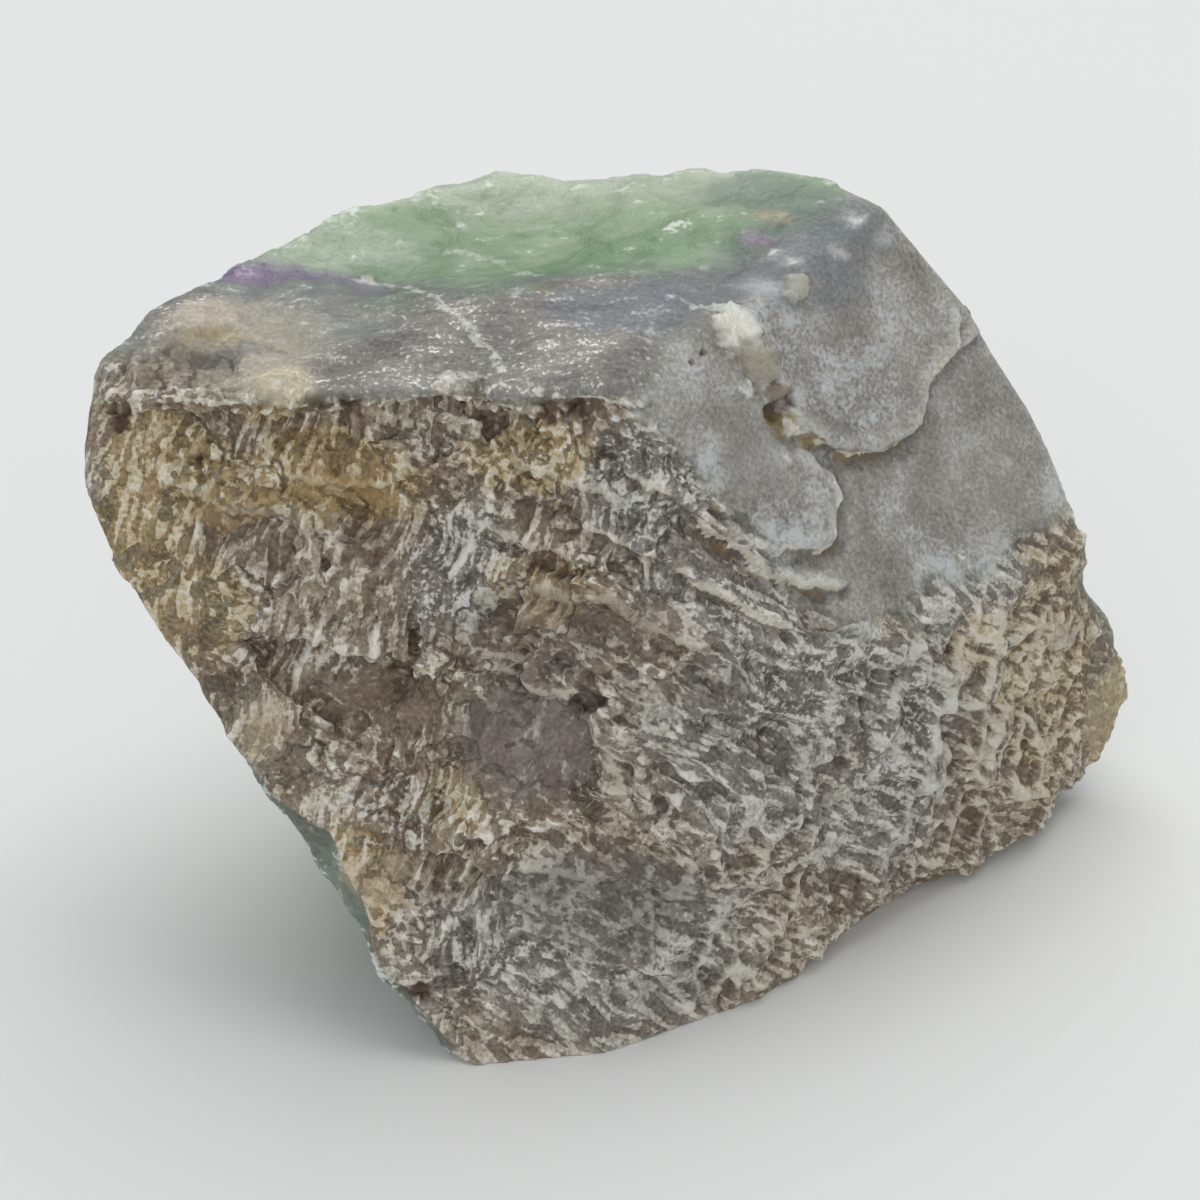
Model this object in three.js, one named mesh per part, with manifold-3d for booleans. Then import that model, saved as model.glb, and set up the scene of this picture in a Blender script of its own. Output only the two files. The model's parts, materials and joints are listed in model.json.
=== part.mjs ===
// A raw lump of green fluorite, about 104 mm across, in millimetres with +Z up.
// It is one piece of stone. Its front has weathered to a rough grey-brown skin of ridges, ledges and
// pits. Its top, left side and back are clean breaks, and it rests on one flat cleavage face.
import * as THREE from "three";
import { ConvexGeometry } from "three/addons/geometries/ConvexGeometry.js";
import { mergeVertices } from "three/addons/utils/BufferGeometryUtils.js";
import Module from "manifold-3d";

// ---------------------------------------------------------------- driving dimensions
// The corners of the block, before its ledges, hollows and pits are cut. Z is the height above the
// resting face. The front is towards -Y.
const CORNERS = {
  // the resting face, and the foot of the front
  footFront: [-11.5, 1, 0],
  footFrontLeft: [-15, 2.5, 0.8],
  footFrontMid: [0, 3.2, 0],
  footFrontRight: [15.5, 11, 0],
  footRight: [38, 40, 0],
  footBackRight: [38, 56, 0],
  footBack: [8, 60, 0],
  footBackLeft: [-24, 46, 0],
  // the heel and the tip at the right
  heelFront: [45.5, 37.5, 1.5],
  heelSide: [50, 47, 1.6],
  tipLow: [54, 50, 4.6],
  tip: [56, 52, 9.8],
  tipHigh: [54, 50, 17],
  // the rough front
  ribHigh: [32.5, 27.5, 31.5],
  ribLow: [27.5, 24, 6],
  waist: [5, 9.3, 31],
  leftLow: [-23.8, 6, 13.7],
  leftMid: [-37.8, 14, 33],
  cheekLow: [-47.8, 23, 50.5],
  cheek: [-48.6, 25, 53],
  // the smooth shoulder at the upper right
  shoulderFoot: [22.1, 18.1, 37.1],
  shoulderSide: [11.5, 15.2, 47.3],
  shoulderRight: [48.4, 42.6, 36.8],
  shoulderEdge: [44.1, 45.2, 45.6],
  shoulderHigh: [36, 47.4, 57.8],
  // the front edge of the top
  browLeft: [-45.5, 24, 59],
  browMid: [-27.5, 22, 60.6],
  browFront: [1.8, 19.6, 62.7],
  browRight: [14, 31, 64.4],
  // the left, back and right edges of the top
  crownLeft: [-46.3, 30, 61.3],
  crownLeftBack: [-42.6, 34, 62.9],
  crownBackLeft: [-34.9, 44, 64.3],
  crownBackSlope: [-26.6, 50, 66.9],
  crownBack: [-11.8, 54.4, 69.1],
  crownBackMid: [4, 54.4, 69.9],
  crownPeak: [15.7, 53.2, 70.5],
  crownBackRight: [21.8, 51, 70.1],
  crownRight: [27.3, 47, 68.7],
  // the back
  backRight: [46, 62, 24],
  backRightHigh: [36, 64, 48],
  backMid: [12, 72, 34],
  backHigh: [6, 66, 60],
  backLeft: [-28, 62, 38],
  leftBack: [-45, 42, 48],
};

// Flat faces by three of their corners. Outlines on a face are [along, up], along level to the right
// and up the slope, from the face's first corner.
const FACES = {
  shoulder: ["browRight", "crownRight", "shoulderRight"],
  frontLeft: ["footFront", "browLeft", "browFront"],
  frontRight: ["footFrontMid", "shoulderFoot", "shoulderSide"],
  side: ["ribLow", "heelFront", "shoulderRight"],
  top: ["browLeft", "browFront", "crownBackMid"],
  left: ["footFrontLeft", "browLeft", "footBackLeft"],
  back: ["footBack", "backMid", "backRight"],
};
const ROUGH_FACES = ["frontLeft", "frontRight", "side"];

// Steps where a layer has split off a face. What is inside the outline is gone, to one depth at the
// outline's low end and another at its high end.
const CLEAVED = [
  {
    // the low right part of the shoulder, below the round flake
    face: "shoulder",
    depth: [1.5, 1.7],
    outline: [[38, -8], [28, -10.4], [24.5, -11.6], [19.6, -13.4], [17.2, -16.2], [10.6, -16.6],
      [5.4, -14.4], [2.2, -12.4], [2.9, -15.6], [3.1, -19.4], [1.3, -23], [-1, -25.5], [2, -36], [38, -38]],
  },
  {
    // the left part of the shoulder, half as deep
    face: "shoulder",
    depth: [0.8, 0.9],
    outline: [[-0.6, 4], [-1.2, -0.6], [-2.2, -3.9], [-1.2, -7.4], [3.4, -13], [6, -17], [5, -23.4],
      [-4, -23.2], [-9, -19.8], [-14, -15.6], [-19, -9.8], [-26, -4], [-24, 4]],
  },
  {
    // the stepped strip below the left part
    face: "shoulder",
    depth: [1.4, 2],
    outline: [[4, -22.6], [-4, -22.4], [-9, -19], [-14, -15], [-18, -9.8], [-25, -12.5], [-17.5, -18.5],
      [-12, -24.5], [-5, -29.5], [1.5, -30.5], [4, -27]],
  },
  {
    // the recess below the lip of the brow
    face: "frontLeft",
    depth: [-0.4, 2.3],
    outline: [[-44, 58.6], [-35, 60], [-24.8, 60.8], [-17, 61], [-9, 63.2], [-2.7, 64.4], [4, 62.4],
      [3, 50], [-6, 47], [-15, 44], [-22, 44], [-31, 46], [-42, 54]],
  },
  {
    // the bare patch in the middle of the front
    face: "frontRight",
    depth: [0.1, 1.3],
    outline: [[-12, 37], [-7, 39.4], [-0.5, 38.6], [2.4, 32.6], [6, 26.4], [1.6, 18.8], [-8, 20.4],
      [-11, 32]],
  },
  {
    // the shelf left of the middle, with its bright upper edge
    face: "frontLeft",
    depth: [-0.3, 1.6],
    outline: [[-26, 40.4], [-19, 40.8], [-13, 39], [-6, 37.4], [-5.5, 28.5], [-11, 27], [-19, 35]],
  },
  {
    // a broad step on the back
    face: "back",
    depth: [2.6, 2],
    outline: [[-40, 4], [-22, 7], [-8, 17], [2, 19], [9, 29], [4, 44], [-40, 60]],
  },
  {
    // a smaller step on the back
    face: "back",
    depth: [0.4, 1.5],
    outline: [[9, 29], [13, 22], [19, 19], [24, 24], [33, 21], [40, 26], [42, 50], [4, 50]],
  },
];

// Shell-like breaks and hollows: the centre, the radii and the turns about X, Y and Z in degrees.
const HOLLOWS = [
  { at: [-18, 39, 98.2], radii: [64, 28, 34], turn: [0, 0, 0] }, // the wide green bowl in the top
  { at: [16, 39.4, 94.1], radii: [33, 24, 26], turn: [0, 0, 0] }, // the small bowl right of it
  { at: [-34, 2.1, 19.3], radii: [10, 10, 17], turn: [0, -36, 0] }, // the glassy chip along the left edge
  { at: [-24.5, 10.2, 50], radii: [8.5, 4, 3.2], turn: [0, -40, -8] }, // below the tan lump
  { at: [4.5, 6.4, 39.5], radii: [6.5, 4.6, 3.2], turn: [0, 18, 12] }, // the deep notch mid front
  { at: [-36, 14.6, 52.8], radii: [7, 3.4, 2.2], turn: [0, -6, -6] }, // under the left of the brow
  { at: [-46.5, 21, 57.4], radii: [5, 6, 1.2], turn: [0, 0, 10] }, // the nick above the cheek
  { at: [30.5, 22, -1.2], radii: [14, 5.4, 5.4], turn: [0, -4, 40] }, // the hollow of the foot at the right
  { at: [54.5, 42, 3.4], radii: [3, 5, 3], turn: [0, 20, 30] }, // the nick below the tip
  { at: [-48, 58, 20], radii: [27, 20, 22], turn: [0, 0, 30] }, // the scoop low at the back left
  { at: [-60, 32, 16], radii: [24, 22, 30], turn: [0, 20, 0] }, // the long scoop of the left side
  { at: [34, 84, 54], radii: [24, 18, 22], turn: [0, 0, 0] }, // the scoop high at the back
  { at: [62, 68, 40], radii: [15, 14, 17], turn: [0, 0, 0] }, // the scoop at the back right
];

// Shallow shell-like scoops of the broken sides, strewn as the chunks below are.
const SCOOPS = [
  { seed: 5, count: 10, toward: [0.15, 1, -0.05], spread: [46, 24], radius: 24, depth: 1.7 },
  { seed: 17, count: 5, toward: [-1, 0.75, -0.35], spread: [24, 16], radius: 20, depth: 1.5 },
  { seed: 29, count: 3, toward: [1, 0.9, -0.1], spread: [10, 20], radius: 18, depth: 1.4 },
];

// Soft lumps and dents: a point on the surface, how far the swelling reaches and how high it is.
const SWELLS = [
  { at: [-21, 17.2, 56], reach: 7, height: 1.7 }, // the tan lump below the brow
  { at: [-34, 18.4, 54.6], reach: 6.5, height: 1.4 }, // its neighbour at the left
  { at: [-38.5, 33.6, 62.6], reach: 6, height: 1.3 }, // the knob on the top's left end
  { at: [-31, 23.8, 60.6], reach: 4.5, height: 1 }, // the yellow lump on the brow
  { at: [-36, 27, 60.9], reach: 5, height: -1.3 }, // the dip between them
  { at: [14.6, 31, 64], reach: 3.2, height: 1 }, // the bright lump on the flake's rim
  { at: [-2.5, 12, 42.5], reach: 7, height: 1.6 }, // the ledge above the deep notch
  { at: [-12, 12.6, 38.5], reach: 6, height: 1.1 }, // the swelling at its left
  { at: [24, 20.4, 36.6], reach: 5.5, height: 1.3 }, // the pale lump below the shoulder
  { at: [2, 8.4, 26], reach: 9, height: -1 }, // the bare patch in the middle
  { at: [-10, 7, 22], reach: 8, height: 1.1 }, // the swelling left of it
  { at: [12, 13, 21], reach: 9, height: 1 }, // the swelling right of it
  { at: [-16, 5.5, 9], reach: 7, height: 1 }, // the swelling of the foot
  { at: [30, 27, 18], reach: 7, height: 1.2 }, // the rib at the right
];

// Angular chunks that stand out of the rough front, strewn over patches of it. The patch is seen from
// the heart of the stone: toward is its middle and spread its half width and half height in degrees.
// A size is [half length, half width, half height], and each chunk is up to a third off it. Its length
// lies roughly along one of the three directions in which the skin is etched.
const HEART = new THREE.Vector3(2, 36, 32);
const STEEP = [0.25, 0.1, 1];
const SLANTING = [0.77, 0.24, -0.59];
const LEVEL = [0.8, 0.5, 0.1];
const CHUNKS = [
  { seed: 12, count: 16, toward: [-0.75, -0.55, 0.36], spread: [20, 9], along: STEEP, size: [3.8, 1.9, 1.6] },
  { seed: 23, count: 12, toward: [-0.45, -0.85, 0], spread: [20, 24], along: STEEP, size: [4, 1.8, 1.5] },
  { seed: 37, count: 14, toward: [0.4, -0.87, -0.2], spread: [28, 26], along: SLANTING, size: [5, 1.9, 1.5] },
  { seed: 45, count: 5, toward: [0.62, -0.6, -0.5], spread: [22, 8], along: LEVEL, size: [4, 2, 1.5] },
];
const CHUNK_CORNERS = 10; // how many corners each chunk is given
const CLEAR = 14; // how far the prisms that cut the steps reach out of the stone

// The relief of the rough skin: long ridges with valleys between them. A step of the pattern is wide
// across the ridges and stretch times that along them. A crest stands out by half of high, and a
// valley floor lies in by all of it.
const RIDGES_LEFT = { along: STEEP, stretch: 2.2, wide: 3.4, high: 2.1 };
const RIDGES_RIGHT = { along: SLANTING, stretch: 2.8, wide: 3.4, high: 1.45 };
const HONEYCOMB = { along: STEEP, stretch: 1.25, wide: 3.7, high: 2.1 };
const BALL = 36; // the ridges' pattern is laid out on a ball of this radius about the heart
const LEFT_OF = -4; // the steep ridges lie left of this, and the slanting ones right of it
const BLEND = 7; // how far to each side of it they pass into each other
const SIDE = [0.9, -0.3, -0.28]; // the honeycomb lies towards here
const SIDE_FROM = 0.8; // the cosines between which the honeycomb fades in
const SIDE_FULL = 0.93;

// The finished surface.
const EDGE_IN_FRONT = 2.4; // edges longer than this are split, so that the surface can be worn
const EDGE_ON_STRIP = 3;
const EDGE_ON_TOP = 5;
const EDGE_BEHIND = 8.5;
const EDGE_ON_FLOOR = 16; // the resting face stays coarse
const SHORTEST_EDGE = 0.75; // shorter edges are closed up
const FOLD = 0.2; // the cosine of the angle that counts as a fold when an edge is closed up
const NEARLY_FLAT = 0.996; // the cosine of the angle between two facets that count as one flat face
const WANDER = { reach: 0.75, over: 11, channel: 38 }; // how far the surface wanders, and over what distance
const CALM_WANDER = 0.3; // how much of that wandering the flat shoulder shows
const SKIN_DEPTH = [3, 7]; // over which depths behind the front faces the rough skin ends
const SHOULDER_DEPTH = [1.9, 3]; // over which depths behind the shoulder's face it begins
const TOP_DEPTH = [0.5, 2]; // over which depths below the top's face it begins
const STRIP = [30, 38]; // the crusted strip along the top's front edge ends between these
const STRIP_SHARE = 0.45; // how much of the ridges' height the crusted strip shows
const CLEAN_SHARE = 0.1; // how much of it the clean breaks and the shoulder show
const LEFT_MARGIN = 4; // the ridges are lower within this distance of the left side
const LEFT_SHARE = 0.3; // how much of their height shows at the left side
const LEVEL_FOOT = 5; // the relief fades out over this height, so that the foot stays flat
const STONE = { color: 0x8b8174, roughness: 0.62, metalness: 0 };

// ---------------------------------------------------------------- chance and noise
/** A function that gives the next of a repeatable row of numbers from 0 to 1. */
function dice(seed) {
  let state = seed >>> 0;
  return () => {
    state = (Math.imul(state, 1664525) + 1013904223) >>> 0;
    return state / 2 ** 32;
  };
}

/** A repeatable number from -1 to 1 for one point of a lattice. */
function atLattice(i, j, k, channel) {
  let h = Math.imul(i, 374761393) ^ Math.imul(j, 668265263) ^ Math.imul(k, 2147483647 - 8191);
  h = Math.imul(h ^ Math.imul(channel + 1, 1274126177), 2246822519);
  h = Math.imul(h ^ (h >>> 13), 3266489917);
  return ((h ^ (h >>> 16)) >>> 0) / 2 ** 31 - 1;
}

/** Smooth noise from -1 to 1 at a point given in lattice steps. */
function noise(p, channel) {
  const cell = [p.x, p.y, p.z].map(Math.floor);
  const share = [p.x, p.y, p.z].map((v, i) => THREE.MathUtils.smoothstep(v - cell[i], 0, 1));
  let sum = 0;
  for (let corner = 0; corner < 8; corner++) {
    const step = [corner & 1, (corner >> 1) & 1, corner >> 2];
    const weight = step.reduce((w, s, i) => w * (s ? share[i] : 1 - share[i]), 1);
    sum += weight * atLattice(cell[0] + step[0], cell[1] + step[1], cell[2] + step[2], channel);
  }
  return sum;
}

// ---------------------------------------------------------------- surfaces and solids
const wasm = await Module();
wasm.setup();

/** A closed surface of triangles, whose edges can be flipped, split and closed up. */
class Surface {
  constructor(geometry) {
    const bare = geometry.clone();
    bare.deleteAttribute("normal");
    bare.deleteAttribute("uv");
    const { attributes, index } = geometry.index ? bare : mergeVertices(bare);
    const { position } = attributes;
    this.points = Array.from({ length: position.count }, (_, i) =>
      new THREE.Vector3().fromBufferAttribute(position, i),
    );
    this.around = this.points.map(() => new Set()); // the triangles at each point
    for (let i = 0; i < index.count; i += 3) this.add([...index.array.slice(i, i + 3)]);
  }

  add(triangle) {
    triangle.forEach((v) => this.around[v].add(triangle));
  }

  remove(triangle) {
    triangle.forEach((v) => this.around[v].delete(triangle));
  }

  triangles() {
    return [...new Set(this.around.flatMap((set) => [...set]))];
  }

  edges() {
    const sides = this.triangles().flatMap(([a, b, c]) => [[a, b], [b, c], [c, a]]);
    return sides.filter(([a, b]) => a < b);
  }

  length(a, b) {
    return this.points[a].distanceTo(this.points[b]);
  }

  /** The triangles at both sides of an edge. */
  beside(a, b) {
    return [...this.around[a]].filter((triangle) => triangle.includes(b));
  }

  normal(triangle) {
    return new THREE.Triangle(...triangle.map((v) => this.points[v])).getNormal(new THREE.Vector3());
  }

  angle(at, a, b) {
    const [p, q, r] = [at, a, b].map((v) => this.points[v]);
    return q.clone().sub(p).angleTo(r.clone().sub(p));
  }

  /** Turns the edge between two triangles of a flat face, where that makes them better shaped. */
  flip(a, b) {
    const pair = this.beside(a, b);
    if (pair.length !== 2) return;
    if (pair[0][(pair[0].indexOf(a) + 1) % 3] !== b) pair.reverse();
    const [c, d] = pair.map((triangle) => triangle.find((v) => v !== a && v !== b));
    if (this.beside(c, d).length || this.angle(c, a, b) + this.angle(d, a, b) < Math.PI + 0.01) return;
    if (this.normal(pair[0]).dot(this.normal(pair[1])) < NEARLY_FLAT) return;
    pair.forEach((triangle) => this.remove(triangle));
    this.add([a, d, c]);
    this.add([d, b, c]);
    [[a, d], [d, b], [b, c], [c, a]].forEach((side) => this.flip(...side));
  }

  /** Adds a point at the middle of an edge. */
  split(a, b) {
    const middle = this.points.push(this.points[a].clone().lerp(this.points[b], 0.5)) - 1;
    this.around.push(new Set());
    const pair = this.beside(a, b);
    for (const triangle of pair) {
      this.remove(triangle);
      this.add(triangle.map((v) => (v === a ? middle : v)));
      this.add(triangle.map((v) => (v === b ? middle : v)));
    }
    for (const triangle of pair) {
      const far = triangle.find((v) => v !== a && v !== b);
      this.flip(a, far);
      this.flip(b, far);
    }
  }

  /** Draws one end of an edge to the other, unless that would fold the surface. */
  close(from, to) {
    const near = (v) => new Set([...this.around[v]].flat());
    const both = [...near(from)].filter((v) => near(to).has(v));
    if (both.length !== 4) return; // the two ends and the two points across from them
    const kept = [...this.around[from]].filter((triangle) => !triangle.includes(to));
    const moved = kept.map((triangle) => triangle.map((v) => (v === from ? to : v)));
    const folds = kept.some((triangle, i) => {
      const before = this.normal(triangle);
      const doubled = [...this.around[to]].some((other) => moved[i].every((v) => other.includes(v)));
      return doubled || (before.length() > 0.5 && before.dot(this.normal(moved[i])) < FOLD);
    });
    if (folds) return;
    [...this.around[from]].forEach((triangle) => this.remove(triangle));
    moved.forEach((triangle) => this.add(triangle));
  }

  /** Splits the edges that are too long, the longest first. */
  refine() {
    this.edges().forEach((side) => this.flip(...side));
    const tooLong = ([a, b]) => this.length(a, b) > longestEdge(this.points[a], this.points[b]);
    for (let long = this.edges().filter(tooLong); long.length; long = this.edges().filter(tooLong)) {
      long.sort((s, t) => this.length(...t) - this.length(...s));
      for (const side of long) if (this.beside(...side).length) this.split(...side);
    }
    return this;
  }

  /** Closes up the edges that are too short, the shortest first. */
  tidy() {
    const short = this.edges().filter((side) => this.length(...side) < SHORTEST_EDGE);
    short.sort((s, t) => this.length(...s) - this.length(...t));
    for (const [a, b] of short) {
      if (this.beside(a, b).length) this.close(a, b);
      if (this.beside(a, b).length) this.close(b, a);
    }
    return this;
  }

  /** Drops the specks that were sealed inside, and keeps the surface that the first point is on. */
  outside() {
    const reached = new Set(this.triangles()[0]);
    for (const v of reached) for (const w of [...this.around[v]].flat()) reached.add(w);
    this.triangles().filter(([v]) => !reached.has(v)).forEach((triangle) => this.remove(triangle));
    return this;
  }

  geometry() {
    const corners = this.triangles().flat();
    const used = [...new Set(corners)];
    const place = new Map(used.map((v, i) => [v, i]));
    const geometry = new THREE.BufferGeometry().setFromPoints(used.map((v) => this.points[v]));
    return geometry.setIndex(corners.map((v) => place.get(v)));
  }
}

/** The longest that an edge of the finished surface may be. */
function longestEdge(a, b) {
  if (a.z < 0.01 && b.z < 0.01) return EDGE_ON_FLOOR;
  const middle = a.clone().lerp(b, 0.5);
  if (roughness(middle) > 0.5) return EDGE_IN_FRONT;
  if (behind("top", middle) < 1 && middle.y < STRIP[0]) return EDGE_ON_STRIP;
  return middle.z > 45 && middle.y < 58 ? EDGE_ON_TOP : EDGE_BEHIND;
}

/** The solid that a closed surface encloses. */
function solidOf(surface) {
  const vertProperties = new Float32Array(surface.points.flatMap((p) => [p.x, p.y, p.z]));
  const triVerts = new Uint32Array(surface.triangles().flat());
  return new wasm.Manifold(new wasm.Mesh({ numProp: 3, vertProperties, triVerts }));
}

/** A named corner as a vector. */
function corner(name) {
  return new THREE.Vector3(...CORNERS[name]);
}

/** The matrix that carries a face's own axes, along, up and out, to the stone's. */
function faceMatrix(names) {
  const [a, b, c] = names.map(corner);
  const out = b.clone().sub(a).cross(c.clone().sub(a)).normalize();
  if (out.dot(a.clone().sub(HEART)) < 0) out.negate();
  const along = new THREE.Vector3(0, 0, 1).cross(out).normalize();
  const up = out.clone().cross(along);
  return new THREE.Matrix4().makeBasis(along, up, out).setPosition(a);
}

/** The plane of each face, facing out of the stone. */
const planes = Object.fromEntries(
  Object.entries(FACES).map(([face, names]) => {
    const plane = new THREE.Plane().setFromCoplanarPoints(...names.map(corner));
    return [face, plane.distanceToPoint(HEART) > 0 ? plane.negate() : plane];
  }),
);

/** The prism that is gone where a layer has split off a face. Its floor may slope. */
function cleft({ face, depth, outline }) {
  const points = outline.map(([along, up]) => new THREE.Vector2(along, up));
  const shape = new THREE.Shape(points);
  const geometry = new THREE.ExtrudeGeometry(shape, { depth: CLEAR, bevelEnabled: false });
  const [low, high] = [Math.min(...points.map((p) => p.y)), Math.max(...points.map((p) => p.y))];
  const position = geometry.attributes.position;
  for (let i = 0; i < position.count; i++) {
    const floor = THREE.MathUtils.mapLinear(position.getY(i), low, high, ...depth);
    if (position.getZ(i) === 0) position.setZ(i, -floor);
  }
  geometry.applyMatrix4(faceMatrix(FACES[face]));
  return solidOf(new Surface(geometry).refine());
}

/** A rounded body with flat facets, for a hollow. */
function hollow({ at, radii, turn }) {
  const geometry = new THREE.IcosahedronGeometry(1, Math.max(...radii) > 12 ? 9 : 3);
  const angles = turn.map(THREE.MathUtils.degToRad);
  geometry.scale(...radii);
  geometry.applyMatrix4(new THREE.Matrix4().makeRotationFromEuler(new THREE.Euler(...angles)));
  geometry.translate(...at);
  return solidOf(new Surface(geometry));
}

/** A solid's surface as a geometry. */
function geometryOf(solid) {
  const { vertProperties, triVerts } = solid.getMesh();
  const position = new THREE.BufferAttribute(vertProperties, 3);
  return new THREE.BufferGeometry().setAttribute("position", position).setIndex([...triVerts]);
}

/** The point and the outward normal where a ray from the heart leaves a mesh for the last time. */
function whereItLeaves(mesh, direction) {
  const hit = new THREE.Raycaster(HEART, direction).intersectObject(mesh).pop();
  return { point: hit.point, out: hit.face.normal };
}

/** Points and outward normals strewn over a patch of a mesh, as the patch's seed gives them. */
function strewn({ count, toward, spread }, mesh, roll) {
  const centre = new THREE.Vector3(...toward).normalize();
  const level = new THREE.Vector3(-centre.y, centre.x, 0).normalize();
  const slope = centre.clone().cross(level);
  return Array.from({ length: count }, () => {
    const angles = spread.map((angle) => angle * (2 * roll() - 1));
    const [aside, upward] = angles.map((angle) => Math.tan(THREE.MathUtils.degToRad(angle)));
    const direction = centre.clone().addScaledVector(level, aside).addScaledVector(slope, upward);
    return whereItLeaves(mesh, direction.normalize());
  });
}

/** The balls that cut the shallow scoops of one patch. */
function scoops(patch, block) {
  const roll = dice(patch.seed);
  return strewn(patch, block, roll).map(({ point, out }) => {
    const radius = patch.radius * (0.7 + 0.6 * roll());
    const at = point.addScaledVector(out, radius - patch.depth * (0.6 + 0.8 * roll()));
    return hollow({ at, radii: [radius, radius, radius * 1.2], turn: [0, 0, 0] });
  });
}

/** The angular chunks of one patch of the front. */
function chunks(patch, stone) {
  const roll = dice(patch.seed);
  const run = new THREE.Vector3(...patch.along);
  return strewn(patch, stone, roll).map(({ point, out }) => {
    const lengthwise = run.clone().addScaledVector(out, -run.dot(out)).normalize();
    lengthwise.applyAxisAngle(out, 0.8 * (roll() - 0.5));
    const [long, wide, high] = patch.size.map((s) => s * (0.67 + 0.66 * roll()));
    const place = new THREE.Matrix4().makeBasis(lengthwise, out.clone().cross(lengthwise), out);
    place.setPosition(point.addScaledVector(out, -0.2 * high));
    const corners = Array.from({ length: CHUNK_CORNERS }, () => {
      const height = 2 * roll() - 1;
      const turn = 2 * Math.PI * roll();
      const girth = Math.sqrt(1 - height * height);
      return new THREE.Vector3(girth * Math.cos(turn), girth * Math.sin(turn), height);
    });
    return solidOf(new Surface(new ConvexGeometry(corners).scale(long, wide, high).applyMatrix4(place)));
  });
}

// ---------------------------------------------------------------- carving and wearing
/** The block with its layers, hollows and chunks. */
function carve() {
  let stone = solidOf(new Surface(new ConvexGeometry(Object.keys(CORNERS).map(corner))).refine());
  const cut = (piece) => (stone = stone.subtract(piece));
  const join = (piece) => (stone = stone.add(piece));
  const seenFromInside = new THREE.MeshBasicMaterial({ side: THREE.DoubleSide });
  const sofar = () => new THREE.Mesh(geometryOf(stone), seenFromInside);
  const block = sofar();
  for (const patch of SCOOPS) scoops(patch, block).forEach(cut);
  CLEAVED.map(cleft).forEach(cut);
  HOLLOWS.map(hollow).forEach(cut);
  const bare = sofar();
  for (const patch of CHUNKS) chunks(patch, bare).forEach(join);
  return new Surface(geometryOf(stone)).outside().tidy().tidy().geometry();
}

/** How far a point lies behind a face. */
function behind(face, point) {
  return -planes[face].distanceToPoint(point);
}

/** How rough the surface is at a point: 1 on the weathered front and 0 on the clean breaks. */
function roughness(point) {
  const skin = Math.min(...ROUGH_FACES.map((face) => behind(face, point)));
  const broken = THREE.MathUtils.smoothstep(skin, ...SKIN_DEPTH);
  const split = 1 - THREE.MathUtils.smoothstep(behind("shoulder", point), ...SHOULDER_DEPTH);
  const level = 1 - THREE.MathUtils.smoothstep(behind("top", point), ...TOP_DEPTH);
  return (1 - broken) * (1 - split) * (1 - level);
}

/** How much of the ridges' height shows at a point. */
function share(point) {
  const onTop = 1 - THREE.MathUtils.smoothstep(behind("top", point), ...TOP_DEPTH);
  const inFront = 1 - THREE.MathUtils.smoothstep(point.y, ...STRIP);
  const clean = Math.max(CLEAN_SHARE, STRIP_SHARE * onTop * inFront);
  const edge = THREE.MathUtils.smoothstep(behind("left", point), 0, LEFT_MARGIN);
  return THREE.MathUtils.lerp(clean, THREE.MathUtils.lerp(LEFT_SHARE, 1, edge), roughness(point));
}

/** The height of long sharp crests, from -1 to 0.5, at a place on the ball. */
function crests(place, { along, stretch, wide }, channel) {
  const axis = new THREE.Vector3(...along).normalize();
  const squeezed = place.clone().addScaledVector(axis, place.dot(axis) * (1 / stretch - 1));
  return Math.max(0.5 - 2.4 * Math.abs(noise(squeezed.divideScalar(wide), channel)), -1);
}

/** How far the surface stands out or lies in along the ray from the heart. */
function relief(point) {
  const direction = point.clone().sub(HEART).normalize();
  const place = direction.clone().multiplyScalar(BALL);
  const left = 1 - THREE.MathUtils.smoothstep(point.x, LEFT_OF - BLEND, LEFT_OF + BLEND);
  const side = new THREE.Vector3(...SIDE).normalize();
  const comb = THREE.MathUtils.smoothstep(direction.dot(side), SIDE_FROM, SIDE_FULL);
  const slanting = RIDGES_RIGHT.high * crests(place, RIDGES_RIGHT, 5);
  const steep = RIDGES_LEFT.high * crests(place, RIDGES_LEFT, 7);
  const cells = HONEYCOMB.high * crests(place, HONEYCOMB, 9);
  const ridges = THREE.MathUtils.lerp(THREE.MathUtils.lerp(slanting, steep, left), cells, comb);
  const swelling = SWELLS.reduce((sum, { at, reach, height }) => {
    const near = 1 - Math.min(point.distanceTo(new THREE.Vector3(...at)) / reach, 1) ** 2;
    return sum + height * near * near;
  }, 0);
  return ridges * share(point) + swelling;
}

/** Where a point of the carved block lies on the worn stone. The foot stays level. */
function worn(point) {
  const free = THREE.MathUtils.smoothstep(point.z, 0, LEVEL_FOOT);
  const where = point.clone().divideScalar(WANDER.over);
  const wander = new THREE.Vector3(...[0, 1, 2].map((axis) => noise(where, WANDER.channel + axis)));
  const calm = 1 - THREE.MathUtils.smoothstep(behind("shoulder", point), ...SHOULDER_DEPTH);
  const shift = wander.multiplyScalar(WANDER.reach * THREE.MathUtils.lerp(1, CALM_WANDER, calm));
  shift.addScaledVector(point.clone().sub(HEART).normalize(), relief(point) * free);
  shift.z *= free;
  return point.clone().add(shift);
}

/** The worn stone, with its origin below the middle of its box, on the resting face. */
function stoneGeometry() {
  const geometry = carve();
  const position = geometry.attributes.position;
  for (let i = 0; i < position.count; i++)
    position.setXYZ(i, ...worn(new THREE.Vector3().fromBufferAttribute(position, i)));
  geometry.computeBoundingBox();
  const middle = geometry.boundingBox.getCenter(new THREE.Vector3());
  return geometry.translate(-middle.x, -middle.y, -geometry.boundingBox.min.z);
}

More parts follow.
